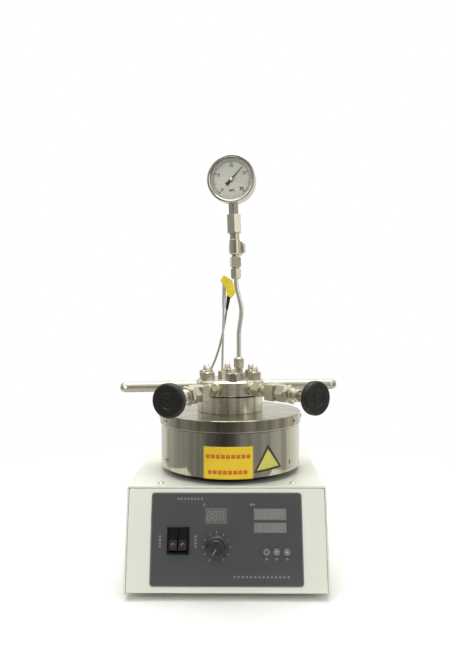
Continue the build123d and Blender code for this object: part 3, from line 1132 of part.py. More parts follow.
def gauge_pointer():
    """Tapered pointer with its tail, hub and arbor."""
    low = -DIAL_DEPTH + POINTER_GAP
    outline = Polyline((0, 0.9), (POINTER_LENGTH, 0.22), (POINTER_LENGTH, -0.22), (0, -0.9),
                       (-POINTER_TAIL, -POINTER_TAIL_HALF), (-POINTER_TAIL, POINTER_TAIL_HALF), close=True)
    pointer = Pos(0, 0, low) * extrude(make_face(outline), POINTER_THICKNESS)
    pointer += disc(POINTER_HUB_RADIUS, low, low + 1.4)
    pointer += disc(ARBOR_RADIUS, -DIAL_DEPTH - DIAL_THICKNESS + 0.1, low + 0.1)
    return gauge_frame() * Rot(0, 0, 180 - POINTER_REST) * pointer


# ------------------------------------------------------------- thermocouple
def thermocouple_gland():
    """Small hexagon gland that clamps the probe in the head."""
    gland = hexagon(PROBE_GLAND_FLATS, 0, PROBE_GLAND_HEIGHT, PROBE_GLAND_TURN) + disc(3.45, -7, 1)
    return PROBE * (gland - disc(PROBE_SHEATH_RADIUS + THREAD_PLAY, -10, 20))


def thermocouple_probe():
    """Steel probe: closed tip in the cavity, sheath, crimp and wider sleeve."""
    tip = FLANGE_TOP - CAVITY_DEPTH + PROBE_TIP_HEIGHT - HEAD_TOP
    crimp = PROBE_CRIMP_HEIGHT
    top = crimp + 2 + PROBE_SLEEVE_LENGTH
    r, s = PROBE_SHEATH_RADIUS, PROBE_SLEEVE_RADIUS
    return PROBE * turned((0, tip), (r - 0.6, tip), (r, tip + 0.6), (r, crimp), (r + 0.7, crimp + 0.3),
                          (r + 0.7, crimp + 1.7), (r, crimp + 2), (s - 0.4, crimp + 2.2), (s, crimp + 2.8),
                          (s, top - 0.4), (s - 0.4, top), (0, top))


def thermocouple_plug():
    """Moulded angled connector head on the probe's sleeve."""
    outline = make_face(Polyline(*PLUG_OUTLINE, close=True))
    plug = Pos(0, PORT_Y + PLUG_DEPTH / 2, 0) * extrude(Plane.XZ * outline, PLUG_DEPTH)
    plug = fillet(plug.edges().filter_by(Axis.Y), PLUG_ROUND)
    bore = PROBE * disc(PROBE_SLEEVE_RADIUS + THREAD_PLAY, 50, PROBE_CRIMP_HEIGHT + 2.05 + PROBE_SLEEVE_LENGTH)
    return plug - bore


RELIEF_START = (-0.9, PORT_Y, 350.0)
RELIEF_DIRECTION = (-0.16, 0.12, -1.0)


def relief_frame():
    """Frame of the strain relief, local z out along the lead."""
    return Plane(origin=RELIEF_START, z_dir=RELIEF_DIRECTION).location


def lead_strain_relief():
    """Tapered rubber strain relief under the connector head."""
    relief = turned((0, 0), (RELIEF_RADIUS, 0), (RELIEF_RADIUS, 3), (LEAD_RADIUS + 0.3, RELIEF_LENGTH),
                    (0, RELIEF_LENGTH))
    return relief_frame() * relief - thermocouple_plug()


def lead_gland():
    """Cable gland in the rear wall."""
    frame = Plane(origin=(LEAD_GLAND_X, CASE_REAR_Y, LEAD_GLAND_Z), z_dir=(0, 1, 0)).location
    gland = hexagon(LEAD_GLAND_FLATS, 0, 4) + disc(LEAD_GLAND_THREAD_RADIUS, -6, 1)
    gland += turned((0, 3), (6.4, 3), (6.4, 8.5), (3.4, LEAD_GLAND_LENGTH), (0, LEAD_GLAND_LENGTH))
    return frame * gland


def lead_route():
    """Corner points of the lead's route, from the strain relief to the rear gland."""
    start = (relief_frame() * Pos(0, 0, RELIEF_LENGTH)).position
    below = (relief_frame() * Pos(0, 0, RELIEF_LENGTH + LEAD_FIRST_RUN)).position
    gland = (LEAD_GLAND_X, CASE_REAR_Y + LEAD_GLAND_LENGTH, LEAD_GLAND_Z)
    return [tuple(start), tuple(below), (-15.0, 15.5, 276.0), (-25.0, 27.5, 250.5), (-37.5, 60.0, 229.0),
            (-47.0, 98.0, 210.0), (-53.5, 127.0, 176.0), (-58.0, 147.0, 134.0), (-61.0, 165.0, 98.0),
            (LEAD_GLAND_X, 155.5, LEAD_GLAND_Z), gland]


def thermocouple_lead():
    """Flexible lead along its route, straight runs joined by tangent arcs."""
    points = [Vector(*p) for p in lead_route()]
    radii = []
    for a, b, c in zip(points, points[1:], points[2:]):
        half_turn = math.radians((b - a).get_angle(c - b)) / 2
        radii.append(0.45 * min((b - a).length, (c - b).length) / math.tan(half_turn))
    path = FilletPolyline(*points, radius=radii)
    lead = sweep(Plane(origin=path @ 0, z_dir=path % 0) * Circle(LEAD_RADIUS), path=path)
    runs = [(b - a).length for a, b in zip(points, points[1:])]
    print("lead runs", [round(r) for r in runs], "radii", [round(r) for r in radii], "length", round(path.length, 1))
    print("lead volume", round(lead.volume, 1), "section x length", round(math.pi * LEAD_RADIUS ** 2 * path.length, 1))
    return lead


# --------------------------------------------------------------------- build
def build():
    """Every node of the reactor."""
    places = screw_places()
    every_screw = [place for rows in places.values() for place in rows]
    nodes = {
        "base_tray": base_tray(places), "case_cover": case_cover(places), "front_panel": front_panel(),
        "control_overlay": control_overlay(), "rubber_feet": rubber_feet(),
        "pan_head_screws": group(place * screw() for place in every_screw),
        "switch_bezel": switch_bezel(), "heat_switch_rocker": rocker(-1), "stir_switch_rocker": rocker(1),
        "display_modules": display_modules(),
        "speed_potentiometer": speed_potentiometer(), "speed_knob": speed_knob(),
        "control_board": control_board(), "power_module": power_module(), "power_inlet": power_inlet(),
        "stirrer_motor": stirrer_motor(), "stir_rotor": stir_rotor(),
        "furnace_base": furnace_base(places), "furnace_shell": furnace_shell(places), "furnace_lid": furnace_lid(places),
        "heater_block": heater_block(),
        "insulation_ring": insulation_ring(),
        "vessel_body": vessel_body(), "seal_ring": seal_ring(), "vessel_head": vessel_head(),
        "head_studs": head_studs(), "head_nuts": head_nuts(), "stir_bar": stir_bar(),
        "handle_rods": handle_rods(),
        "valve_connectors": valve_connectors(), "valve_bonnets": valve_bonnets(),
        "valve_lock_nuts": valve_lock_nuts(), "packing_glands": packing_glands(),
        "gauge_port_fitting": gauge_port_fitting(), "tube_nuts": tube_nuts(), "gauge_tube": gauge_tube(),
        "tube_union": tube_union(), "gauge_tee": gauge_tee(), "burst_disc_holder": burst_disc_holder(),
        "gauge_coupling": gauge_coupling(), "gauge_case": gauge_case(), "gauge_bezel": gauge_bezel(),
        "gauge_glass": gauge_glass(), "gauge_dial": gauge_dial(), "gauge_pointer": gauge_pointer(),
        "thermocouple_gland": thermocouple_gland(), "thermocouple_probe": thermocouple_probe(),
        "thermocouple_plug": thermocouple_plug(), "lead_strain_relief": lead_strain_relief(),
        "thermocouple_lead": thermocouple_lead(), "lead_gland": lead_gland(),
    }
    for name, x in KEY_XS.items():
        nodes[name] = panel_key(x)
    for name, side in (("left", -1), ("right", 1)):
        nodes[f"{name}_valve_body"] = valve_body(side)
        nodes[f"{name}_valve_stem"] = valve_stem(side)
        nodes[f"{name}_valve_knob"] = valve_knob(side)
    return nodes


for node, shape in build().items():
    export_step(shape, f"parts/{node}.step")
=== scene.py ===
"""Dressed view of a small bench-top pressure reactor. Metres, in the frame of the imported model."""
import math

import bmesh
import bpy
from mathutils import Matrix, Vector


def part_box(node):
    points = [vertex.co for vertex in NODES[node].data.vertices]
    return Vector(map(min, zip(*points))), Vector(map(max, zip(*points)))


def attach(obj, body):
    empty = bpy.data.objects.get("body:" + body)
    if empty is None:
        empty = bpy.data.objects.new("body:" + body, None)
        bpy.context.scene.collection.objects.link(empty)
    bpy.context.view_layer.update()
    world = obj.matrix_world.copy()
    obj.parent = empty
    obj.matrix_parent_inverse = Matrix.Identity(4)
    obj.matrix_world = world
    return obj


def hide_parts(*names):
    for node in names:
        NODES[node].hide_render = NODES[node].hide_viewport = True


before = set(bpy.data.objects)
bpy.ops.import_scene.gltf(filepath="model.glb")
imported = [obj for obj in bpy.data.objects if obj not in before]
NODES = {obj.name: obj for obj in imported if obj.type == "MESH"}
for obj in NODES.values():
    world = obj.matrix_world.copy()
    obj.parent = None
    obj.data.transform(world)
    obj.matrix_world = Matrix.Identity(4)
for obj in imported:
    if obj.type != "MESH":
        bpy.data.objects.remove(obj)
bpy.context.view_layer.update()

MM = 0.001

# ------------------------------------------------------------------- camera
FOCAL_PIXELS = 590.0
LONG_SIDE = 650                             # pixels
SENSOR_WIDTH = 36                           # millimetres
CAMERA_PLACE = (0.0092, -0.7826, 0.3155)
YAW, PITCH, ROLL = math.radians(0.95), math.radians(0.43), math.radians(-0.25)

right = Vector((math.cos(YAW), math.sin(YAW), 0))
forward = Vector((-math.sin(YAW) * math.cos(PITCH), math.cos(YAW) * math.cos(PITCH), -math.sin(PITCH)))
upward = right.cross(forward)
cam_x = right * math.cos(ROLL) + upward * math.sin(ROLL)
cam_y = upward * math.cos(ROLL) - right * math.sin(ROLL)
cam_data = bpy.data.cameras.new("view")
cam_data.sensor_width = SENSOR_WIDTH
cam_data.lens = SENSOR_WIDTH * FOCAL_PIXELS / LONG_SIDE
camera = bpy.data.objects.new("view", cam_data)
bpy.context.scene.collection.objects.link(camera)
camera_turn = Matrix((cam_x, cam_y, -forward)).transposed()
camera.matrix_world = Matrix.Translation(CAMERA_PLACE) @ camera_turn.to_4x4()
bpy.context.scene.camera = camera
bpy.context.scene.view_settings.view_transform = "Standard"

# --------------------------------------------------------------- the lead
LEAD_RADIUS = 1.45
LEAD_ROUTE = [(-4.04, 5.35, 330.39), (-7.8, 8.18, 306.85), (-15, 15.5, 276), (-25, 27.5, 250.5),
              (-37.5, 60, 229), (-47, 98, 210), (-53.5, 127, 176), (-58, 147, 134), (-61, 165, 98),
              (-60, 155.5, 70), (-60, 131.2, 70)]


def link(obj):
    """Puts a new object into the scene."""
    bpy.context.scene.collection.objects.link(obj)
    return obj


def nurbs(name, points, radius):
    """Round cord along a smooth line with these control points, in millimetres."""
    curve = bpy.data.curves.new(name, "CURVE")
    curve.dimensions = "3D"
    curve.bevel_depth = 1.0
    curve.bevel_resolution = 5
    curve.use_fill_caps = True
    curve.resolution_u = 16
    line = curve.splines.new("NURBS")
    line.points.add(len(points) - 1)
    for spot, at in zip(line.points, points):
        spot.co = (at[0] * MM, at[1] * MM, at[2] * MM, 1)
        spot.radius = radius * MM
    line.order_u = 3
    line.use_endpoint_u = True
    return link(bpy.data.objects.new(name, curve))


lead = nurbs("thermocouple_cable", LEAD_ROUTE, LEAD_RADIUS)
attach(lead, "root")
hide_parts("thermocouple_lead")


# ---------------------------------------------------------------- materials
def srgb(text):
    """Linear colour of a hex colour."""
    parts = [int(text[i:i + 2], 16) / 255 for i in (1, 3, 5)]
    return (*[c / 12.92 if c <= 0.04045 else ((c + 0.055) / 1.055) ** 2.4 for c in parts], 1)


def math_node(tree, kind, a, b, clamp=False):
    """Result of a maths node on two sockets or plain numbers."""
    n = tree.nodes.new("ShaderNodeMath")
    n.operation = kind
    n.use_clamp = clamp
    for socket, value in zip(n.inputs, (a, b)):
        if isinstance(value, (int, float)):
            socket.default_value = value
        else:
            tree.links.new(value, socket)
    return n.outputs[0]


NOISE_ROUGHNESS = 0.55
BEVEL_SAMPLES = 4


class Finish:
    """A principled material that detail is added to step by step."""

    def __init__(self, name, colour, rough, metallic=0.0, **more):
        self.m = bpy.data.materials.new(name)
        self.m.use_nodes = True
        self.t = self.m.node_tree
        self.b = self.t.nodes["Principled BSDF"]
        self.b.inputs["Base Color"].default_value = colour
        self.b.inputs["Roughness"].default_value = rough
        self.b.inputs["Metallic"].default_value = metallic
        for key, value in more.items():
            self.b.inputs[key.replace("_", " ")].default_value = value
        self.where = self.add("ShaderNodeTexCoord").outputs["Object"]
        self.bumped = None

    def add(self, kind, **settings):
        """A new node of this material."""
        n = self.t.nodes.new(kind)
        for key, value in settings.items():
            setattr(n, key, value)
        return n

    def join(self, a, b):
        self.t.links.new(a, b)

    def math(self, kind, a, b):
        return math_node(self.t, kind, a, b)

    def noise(self, scale, detail=3.0, source=None):
        """Noise whose scale, in cycles a metre, may differ along x, y and z."""
        scale = (scale, scale, scale) if isinstance(scale, (int, float)) else scale
        place = self.add("ShaderNodeMapping")
        place.inputs["Scale"].default_value = scale
        self.join(source or self.where, place.inputs["Vector"])
        n = self.add("ShaderNodeTexNoise")
        n.inputs["Scale"].default_value = 1.0
        n.inputs["Detail"].default_value = detail
        n.inputs["Roughness"].default_value = NOISE_ROUGHNESS
        self.join(place.outputs[0], n.inputs["Vector"])
        return n.outputs["Fac"]

    def lathe(self, origin, axis):
        """Coordinates (along the axis, from the axis, 0), for turning marks."""
        shift = self.add("ShaderNodeVectorMath", operation="SUBTRACT")
        self.join(self.where, shift.inputs[0])
        shift.inputs[1].default_value = [c * MM for c in origin]
        axis = Vector(axis).normalized()
        dot = self.add("ShaderNodeVectorMath", operation="DOT_PRODUCT")
        self.join(shift.outputs[0], dot.inputs[0])
        dot.inputs[1].default_value = axis
        cross = self.add("ShaderNodeVectorMath", operation="CROSS_PRODUCT")
        self.join(shift.outputs[0], cross.inputs[0])
        cross.inputs[1].default_value = axis
        length = self.add("ShaderNodeVectorMath", operation="LENGTH")
        self.join(cross.outputs[0], length.inputs[0])
        both = self.add("ShaderNodeCombineXYZ")
        self.join(dot.outputs["Value"], both.inputs[0])
        self.join(length.outputs["Value"], both.inputs[1])
        return both.outputs[0]

    def round(self):
        """Coordinates (direction from Z as x and y, height as z), for marks that run up and down a drum."""
        split = self.add("ShaderNodeSeparateXYZ")
        self.join(self.where, split.inputs[0])
        flat = self.add("ShaderNodeCombineXYZ")
        self.join(split.outputs[0], flat.inputs[0])
        self.join(split.outputs[1], flat.inputs[1])
        unit = self.add("ShaderNodeVectorMath", operation="NORMALIZE")
        self.join(flat.outputs[0], unit.inputs[0])
        tall = self.add("ShaderNodeCombineXYZ")
        self.join(split.outputs[2], tall.inputs[2])
        total = self.add("ShaderNodeVectorMath", operation="ADD")
        self.join(unit.outputs[0], total.inputs[0])
        self.join(tall.outputs[0], total.inputs[1])
        return total.outputs[0]

    def spread(self, fac, low, high, to_low=0.0, to_high=1.0):
        """A pattern's span from low to high, stretched to another span."""
        n = self.add("ShaderNodeMapRange")
        n.inputs["From Min"].default_value = low
        n.inputs["From Max"].default_value = high
        n.inputs["To Min"].default_value = to_low
        n.inputs["To Max"].default_value = to_high
        self.join(fac, n.inputs["Value"])
        return n.outputs["Result"]

    def height(self):
        """Height over the table, in metres."""
        n = self.add("ShaderNodeSeparateXYZ")
        self.join(self.where, n.inputs[0])
        return n.outputs[2]

    def tint(self, fac, colour, amount=1.0, low=0.3, high=0.7):
        """Mixes the colour so far towards another by a pattern."""
        mix = self.add("ShaderNodeMix", data_type="RGBA")
        self.join(self.spread(fac, low, high, 0.0, amount), mix.inputs["Factor"])
        base = self.b.inputs["Base Color"]
        if base.is_linked:
            self.join(base.links[0].from_socket, mix.inputs["A"])
        else:
            mix.inputs["A"].default_value = base.default_value
        mix.inputs["B"].default_value = colour
        self.join(mix.outputs["Result"], base)
        return self

    def wear(self, fac, low, high, start=0.3, end=0.7):
        """Roughness from low to high by a pattern."""
        self.join(self.spread(fac, start, end, low, high), self.b.inputs["Roughness"])
        return self

    def bump(self, fac, height_mm):
        """Fine relief by a pattern, over what relief there is."""
        n = self.add("ShaderNodeBump")
        n.inputs["Strength"].default_value = 1.0
        n.inputs["Distance"].default_value = height_mm * MM
        self.join(fac, n.inputs["Height"])
        if self.bumped:
            self.join(self.bumped, n.inputs["Normal"])
        self.bumped = n.outputs["Normal"]
        self.join(self.bumped, self.b.inputs["Normal"])
        return self

    def edges(self, radius_mm):
        """Softly broken edges."""
        n = self.add("ShaderNodeBevel", samples=BEVEL_SAMPLES)
        n.inputs["Radius"].default_value = radius_mm * MM
        self.bumped = n.outputs["Normal"]
        self.join(self.bumped, self.b.inputs["Normal"])
        return self

    def on(self, *names):
        """Goes on these CAD nodes."""
        for name in names:
            obj = NODES[name]
            for s in obj.material_slots:
                s.material = self.m
        return self


UP = (0, 0, 1)
CENTRE = (0, 0, 0)
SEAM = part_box("furnace_lid")[0][2]            # lower edge of the lid's skirt, metres
THREAD_HALF_PITCH = 0.75 * MM
THREAD_TOP = 253.8 * MM
ROD_MIDDLE, ROD_AXIS = (0, 0, 229.3), (0.9936, 0.1132, 0)
DRUM = 91.0                                   # radius of the furnace shell
DIAL_CENTRE = (1.7739, -10.7873, 501.4465)
DIAL_RIGHT, DIAL_AXIS = (0.9843, -0.1736, 0.0327), (-0.1736, -0.9848, -0.0058)
WINDOW_SHADE = (0.0, 0.02)                    # x in metres over which the windows turn from dark to pale

# furnace drum: rolled bright sheet with up-and-down bands of painted reflection, dark and bright, which also stand
# for polishing streaks
shell = Finish("drum_sheet", srgb("#cfcab4"), 0.1, 1.0)
up_down = shell.round()
# painted reflection: dark and bright bands by direction round the drum, standing in for the surroundings mirrored
# in the sheet
shell.tint(shell.noise((5, 5, 1), 2, up_down), srgb("#948d74"), 0.6, 0.44, 0.62)
shell.tint(shell.noise((16, 16, 1), 2, up_down), srgb("#e4e0cf"), 0.4, 0.48, 0.68)
shell.wear(shell.noise((240, 240, 4), 3, up_down), 0.07, 0.15)
shell.bump(shell.noise((420, 420, 5), 2, up_down), 0.002)
shell.bump(shell.noise((7, 7, 12), 1, up_down), 0.03)
# painted shade: dark band just under the lid's skirt, where the skirt's lower edge shades the drum
shell.tint(shell.height(), srgb("#2a2720"), 0.9, SEAM - 1.5 * MM, SEAM - 0.4 * MM)
shell.on("furnace_shell")

lid = Finish("lid_sheet", srgb("#b0a990"), 0.2, 1.0).edges(0.6)
rings = lid.lathe(CENTRE, UP)
# painted reflection: dark bands by direction round the lid, standing in for the surroundings mirrored in the sheet
lid.tint(lid.noise((9, 9, 1), 3, lid.round()), srgb("#776f5a"), 0.7, 0.47, 0.6)
lid.tint(lid.noise((30, 900, 1), 3, rings), srgb("#cfccbd"), 0.35)
lid.wear(lid.noise((40, 1400, 1), 3, rings), 0.17, 0.34)
lid.bump(lid.noise((10, 1600, 1), 3, rings), 0.006)
# painted highlight: pale band along the lower edge of the skirt, where the edge catches the light
lid.tint(lid.height(), srgb("#efebdc"), 0.8, SEAM + 1.4 * MM, SEAM + 0.5 * MM)
lid.on("furnace_lid")

# the base under the drum is painted near black as shade, standing in for the shadowed gap between drum and case
# top
plinth = Finish("plinth_painted_shade", srgb("#25231f"), 0.6)
plinth.tint(plinth.noise(240, 4), srgb("#3a372f"), 0.5).bump(plinth.noise(1500, 2), 0.03)
plinth.on("furnace_base")

# turned bright steel of the vessel and its head
vessel = Finish("vessel_steel", srgb("#e2ddc9"), 0.26, 0.72).edges(0.4)
rings = vessel.lathe(CENTRE, UP)
# painted reflection: dark bands by direction round the vessel, standing in for the surroundings mirrored in the
# steel
vessel.tint(vessel.noise((5, 5, 1), 3, vessel.round()), srgb("#938d75"), 0.8, 0.47, 0.57)
vessel.tint(vessel.noise((2200, 1200, 1), 3, rings), srgb("#c4beaa"), 0.4)
vessel.wear(vessel.noise((2600, 1600, 1), 3, rings), 0.18, 0.32)
vessel.bump(vessel.noise((2400, 1800, 1), 3, rings), 0.008)
vessel.on("vessel_body", "vessel_head")

# machined fittings, nuts and valve parts
fitting = Finish("machined_steel", srgb("#c6c0aa"), 0.28, 0.9).edges(0.35)
fitting.tint(fitting.noise(45, 2), srgb("#aaa48f"), 0.25, 0.4, 0.7)
fitting.tint(fitting.noise((900, 900, 900), 4), srgb("#d8d4c5"), 0.15)
fitting.wear(fitting.noise((600, 600, 600), 4), 0.27, 0.35)
fitting.bump(fitting.noise((1800, 1800, 1800), 3), 0.0015)
fitting.on("valve_connectors", "left_valve_body", "right_valve_body", "valve_bonnets", "valve_lock_nuts",
           "packing_glands", "gauge_port_fitting", "tube_nuts", "tube_union", "gauge_tee",
           "burst_disc_holder", "gauge_coupling", "thermocouple_gland", "left_valve_stem", "right_valve_stem")

# studs and nuts: plain steel with the studs' thread
stud = Finish("stud_steel", srgb("#cbc5b2"), 0.26, 0.85)
thread = stud.math("PINGPONG", stud.height(), THREAD_HALF_PITCH)
lower = stud.math("LESS_THAN", stud.height(), THREAD_TOP)
stud.bump(stud.math("MULTIPLY", stud.math("MULTIPLY", thread, 1 / THREAD_HALF_PITCH), lower), 0.5)
stud.tint(stud.noise(100, 2), srgb("#8b846f"), 0.3)
stud.wear(stud.noise(700, 3), 0.22, 0.4)
stud.on("head_studs")
nut = Finish("nut_steel", srgb("#cbc6b3"), 0.28, 0.88).edges(0.5)
nut.tint(nut.noise(60, 2), srgb("#9a947f"), 0.3, 0.42, 0.7)
nut.wear(nut.noise((500, 500, 1500), 4), 0.25, 0.34)
nut.bump(nut.noise((700, 700, 2600), 3), 0.003)
nut.on("head_nuts")

rod = Finish("rod_steel", srgb("#aeab9b"), 0.42, 0.75)
along = rod.lathe(ROD_MIDDLE, ROD_AXIS)
rod.tint(rod.noise((500, 900, 1), 3, along), srgb("#a39d88"), 0.4)
rod.tint(rod.noise(40, 3), srgb("#c9c6b7"), 0.4)
rod.wear(rod.noise((1500, 200, 1), 3, along), 0.36, 0.5)
rod.bump(rod.noise((2500, 200, 1), 2, along), 0.006)
rod.on("handle_rods")

tube = Finish("drawn_tube", srgb("#e0ddd2"), 0.27, 0.72)
tube.tint(tube.noise((120, 120, 8), 2), srgb("#cbc7ba"), 0.4)
tube.wear(tube.noise((300, 300, 30), 2), 0.26, 0.34).bump(tube.noise((300, 300, 30), 2), 0.0008)
tube.on("gauge_tube", "thermocouple_probe")

# case: cream powder coat
case = Finish("cream_powder_coat", srgb("#dfe0d3"), 0.42, 0.0, Specular_IOR_Level=0.45, Coat_Weight=0.08)
case.edges(0.7)
case.tint(case.noise(7, 3), srgb("#d6d7c7"), 0.6)
case.tint(case.noise(1400, 3), srgb("#f0f0e6"), 0.25)
case.tint(case.noise((60, 60, 200), 5), srgb("#c9c7b4"), 0.16, 0.55, 0.8)
case.wear(case.noise(900, 3), 0.36, 0.5)
case.bump(case.noise(1100, 2), 0.03)
case.on("case_cover", "front_panel", "base_tray")

overlay = Finish("overlay_film", srgb("#474949"), 0.4, 0.0, Specular_IOR_Level=0.4)
overlay.tint(overlay.noise(2600, 2), srgb("#575959"), 0.5)
overlay.tint(overlay.noise(12, 3), srgb("#3f4141"), 0.5)
overlay.wear(overlay.noise(1800, 3), 0.34, 0.48).bump(overlay.noise(3000, 2), 0.012)
overlay.on("control_overlay")

screen = Finish("smoked_window", srgb("#6a6a66"), 0.2, 0.0, Coat_Weight=0.3)
split = screen.add("ShaderNodeSeparateXYZ")
screen.join(screen.where, split.inputs[0])
screen.tint(split.outputs[0], srgb("#81827e"), 1.0, *WINDOW_SHADE)
screen.tint(screen.noise(60, 3), srgb("#5c5c59"), 0.35).wear(screen.noise(400, 3), 0.14, 0.26)
screen.bump(screen.noise(60, 2), 0.02)
screen.on("display_modules")

rocker = Finish("rocker_plastic", srgb("#131315"), 0.3, 0.0, Specular_IOR_Level=0.3).edges(0.4)
rocker.tint(rocker.noise(200, 3), srgb("#1c1c1e"), 0.6).wear(rocker.noise(700, 4), 0.24, 0.42)
rocker.bump(rocker.noise(2000, 2), 0.006)
rocker.on("heat_switch_rocker", "stir_switch_rocker", "switch_bezel")

knob = Finish("speed_knob_plastic", srgb("#232425"), 0.42, 0.0).edges(0.3)
knob.tint(knob.noise(700, 3), srgb("#38393a"), 0.5).wear(knob.noise(900, 4), 0.34, 0.52)
knob.bump(knob.noise(2400, 3), 0.02)
knob.on("speed_knob")

hand = Finish("hand_knob_plastic", srgb("#1a1815"), 0.46, 0.0, Specular_IOR_Level=0.35).edges(0.4)
hand.tint(hand.noise(120, 4), srgb("#2d2a24"), 0.5).tint(hand.noise(900, 4), srgb("#171512"), 0.4)
hand.wear(hand.noise(500, 4), 0.34, 0.55).bump(hand.noise(1700, 3), 0.03)
hand.on("left_valve_knob", "right_valve_knob")

key = Finish("key_cap", srgb("#55585a"), 0.4)
key.tint(key.noise(900, 3), srgb("#606365"), 0.5).wear(key.noise(1500, 3), 0.3, 0.5)
key.bump(key.noise(2500, 2), 0.01)
key.on("key_set", "key_down", "key_up")

screws = Finish("screw_steel", srgb("#cdc8b6"), 0.26, 0.9).edges(0.25)
screws.tint(screws.noise(300, 3), srgb("#8c8672"), 0.3).wear(screws.noise(800, 4), 0.22, 0.42)
screws.bump(screws.noise(2500, 2), 0.02)
screws.on("pan_head_screws", "speed_potentiometer")

rubber = Finish("black_rubber", srgb("#1b1b1b"), 0.75)
rubber.tint(rubber.noise(300, 4), srgb("#2c2b29"), 0.6).wear(rubber.noise(600, 3), 0.65, 0.85)
rubber.bump(rubber.noise(1500, 3), 0.05)
rubber.on("rubber_feet", "lead_strain_relief", "seal_ring")

bright = Finish("gauge_steel", srgb("#c6bfb2"), 0.24, 0.88).edges(0.3)
about = bright.lathe(DIAL_CENTRE, DIAL_AXIS)
bright.tint(bright.noise((1200, 1500, 1), 3, about), srgb("#8b877a"), 0.3)
bright.wear(bright.noise((1800, 1800, 1), 3, about), 0.18, 0.3)
bright.bump(bright.noise((2000, 1600, 1), 2, about), 0.004)
bright.on("gauge_case", "gauge_bezel")

dial = Finish("dial_paint", srgb("#b4b4a8"), 0.6)
dial.tint(dial.noise(40, 3), srgb("#a8a89b"), 0.5).tint(dial.noise(1500, 3), srgb("#bebeb3"), 0.4)
dial.bump(dial.noise(2500, 2), 0.01)
dial.on("gauge_dial")

pane = Finish("gauge_pane", (1, 1, 1, 1), 0.02, 0.0, Transmission_Weight=1.0, IOR=1.02,
              Specular_IOR_Level=0.6)
pane.wear(pane.noise(90, 4), 0.0, 0.04).bump(pane.noise(15, 2), 0.01)
pane.on("gauge_glass")

black = Finish("black_enamel", srgb("#141413"), 0.5)
black.tint(black.noise(1200, 3), srgb("#242422"), 0.6).wear(black.noise(900, 2), 0.42, 0.6)
black.on("gauge_pointer")

yellow = Finish("yellow_moulding", srgb("#e6d022"), 0.42, 0.0, Subsurface_Weight=0.05).edges(0.4)
yellow.tint(yellow.noise(120, 4), srgb("#bfa91c"), 0.6).tint(yellow.noise(900, 4), srgb("#e6d752"), 0.4)
yellow.wear(yellow.noise(700, 3), 0.35, 0.55).bump(yellow.noise(1400, 3), 0.03)
yellow.on("thermocouple_plug")

# parts inside or behind
board = Finish("circuit_board_green", srgb("#1f5a38"), 0.45)
board.tint(board.noise((260, 40, 260), 2), srgb("#2f7a4c"), 0.6, 0.48, 0.52)
board.wear(board.noise(500, 2), 0.35, 0.55).bump(board.noise((260, 40, 260), 1), 0.03).on("control_board")
sink = Finish("extruded_aluminium", srgb("#b4b5b5"), 0.4, 1.0)
sink.tint(sink.noise((900, 20, 900), 3), srgb("#8f9090"), 0.5).wear(sink.noise((1200, 30, 1200), 3), 0.3, 0.5)
sink.on("power_module")
cast = Finish("turned_aluminium", srgb("#b9babb"), 0.35, 1.0)
rings = cast.lathe(CENTRE, UP)
cast.tint(cast.noise((900, 900, 1), 3, rings), srgb("#8e8f90"), 0.5)
cast.wear(cast.noise((1500, 1500, 1), 3, rings), 0.25, 0.45).bump(cast.noise((1500, 1500, 1), 2, rings), 0.02)
cast.on("heater_block", "stir_rotor", "stirrer_motor")
wool = Finish("fibre_insulation", srgb("#dcd8c8"), 0.95)
wool.tint(wool.noise((300, 300, 900), 5), srgb("#b9b39f"), 0.6).bump(wool.noise((500, 500, 1500), 5), 0.6)
wool.on("insulation_ring")
bar = Finish("white_bar", srgb("#e8e8e4"), 0.3)
bar.tint(bar.noise(600, 3), srgb("#d8d8d2"), 0.5).wear(bar.noise(500, 2), 0.22, 0.4).on("stir_bar")
inlet = Finish("inlet_plastic", srgb("#1d1d1e"), 0.48)
inlet.tint(inlet.noise(600, 3), srgb("#2a2a2b"), 0.6).wear(inlet.noise(900, 3), 0.38, 0.6)
inlet.bump(inlet.noise(1800, 3), 0.02).on("power_inlet", "lead_gland")

braid = Finish("lead_braid", srgb("#c2bfb2"), 0.36, 0.6)
weave = braid.add("ShaderNodeTexVoronoi")
weave.inputs["Scale"].default_value = 1500
braid.join(braid.where, weave.inputs["Vector"])
braid.tint(weave.outputs["Distance"], srgb("#85816f"), 0.7, 0.2, 0.7).bump(weave.outputs["Distance"], 0.12)
braid.wear(braid.noise(900, 3), 0.3, 0.5)
lead.data.materials.append(braid.m)


# -------------------------------------------------------------- extra pieces
def mesh_piece(name, bm, material, body, smooth=False):
    """Makes a piece of this mesh that rides on a body of the model."""
    bmesh.ops.recalc_face_normals(bm, faces=bm.faces)
    data = bpy.data.meshes.new(name)
    bm.to_mesh(data)
    bm.free()
    data.materials.append(material)
    obj = link(bpy.data.objects.new(name, data))
    for face in data.polygons:
        face.use_smooth = smooth
    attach(obj, body)


def frame_of(origin, x, z):
    """Matrix of a local frame, millimetres in, metres out."""
    x, z = Vector(x).normalized(), Vector(z).normalized()
    y = z.cross(x)
    turn = Matrix((x, y, z)).transposed().to_4x4()
    return Matrix.Translation(Vector(origin) * MM) @ turn @ Matrix.Scale(MM, 4)


# local frames of the sloping panel and of the dial: x to the right, y up, z out
PANEL = frame_of((-3.6, -122.428, 8.0), (1, 0, 0), (0, -0.9676, 0.2526))
GAUGE = frame_of(DIAL_CENTRE, DIAL_RIGHT, DIAL_AXIS)


def plate(bm, place, outline, low, high):
    """Adds a flat plate with this outline to a mesh."""
    base = [bm.verts.new(place @ Vector((x, y, low))) for x, y in outline]
    top = [bm.verts.new(place @ Vector((x, y, high))) for x, y in outline]
    n = len(outline)
    bm.faces.new(top)
    bm.faces.new(list(reversed(base)))
    for i in range(n):
        bm.faces.new((base[i], base[(i + 1) % n], top[(i + 1) % n], top[i]))


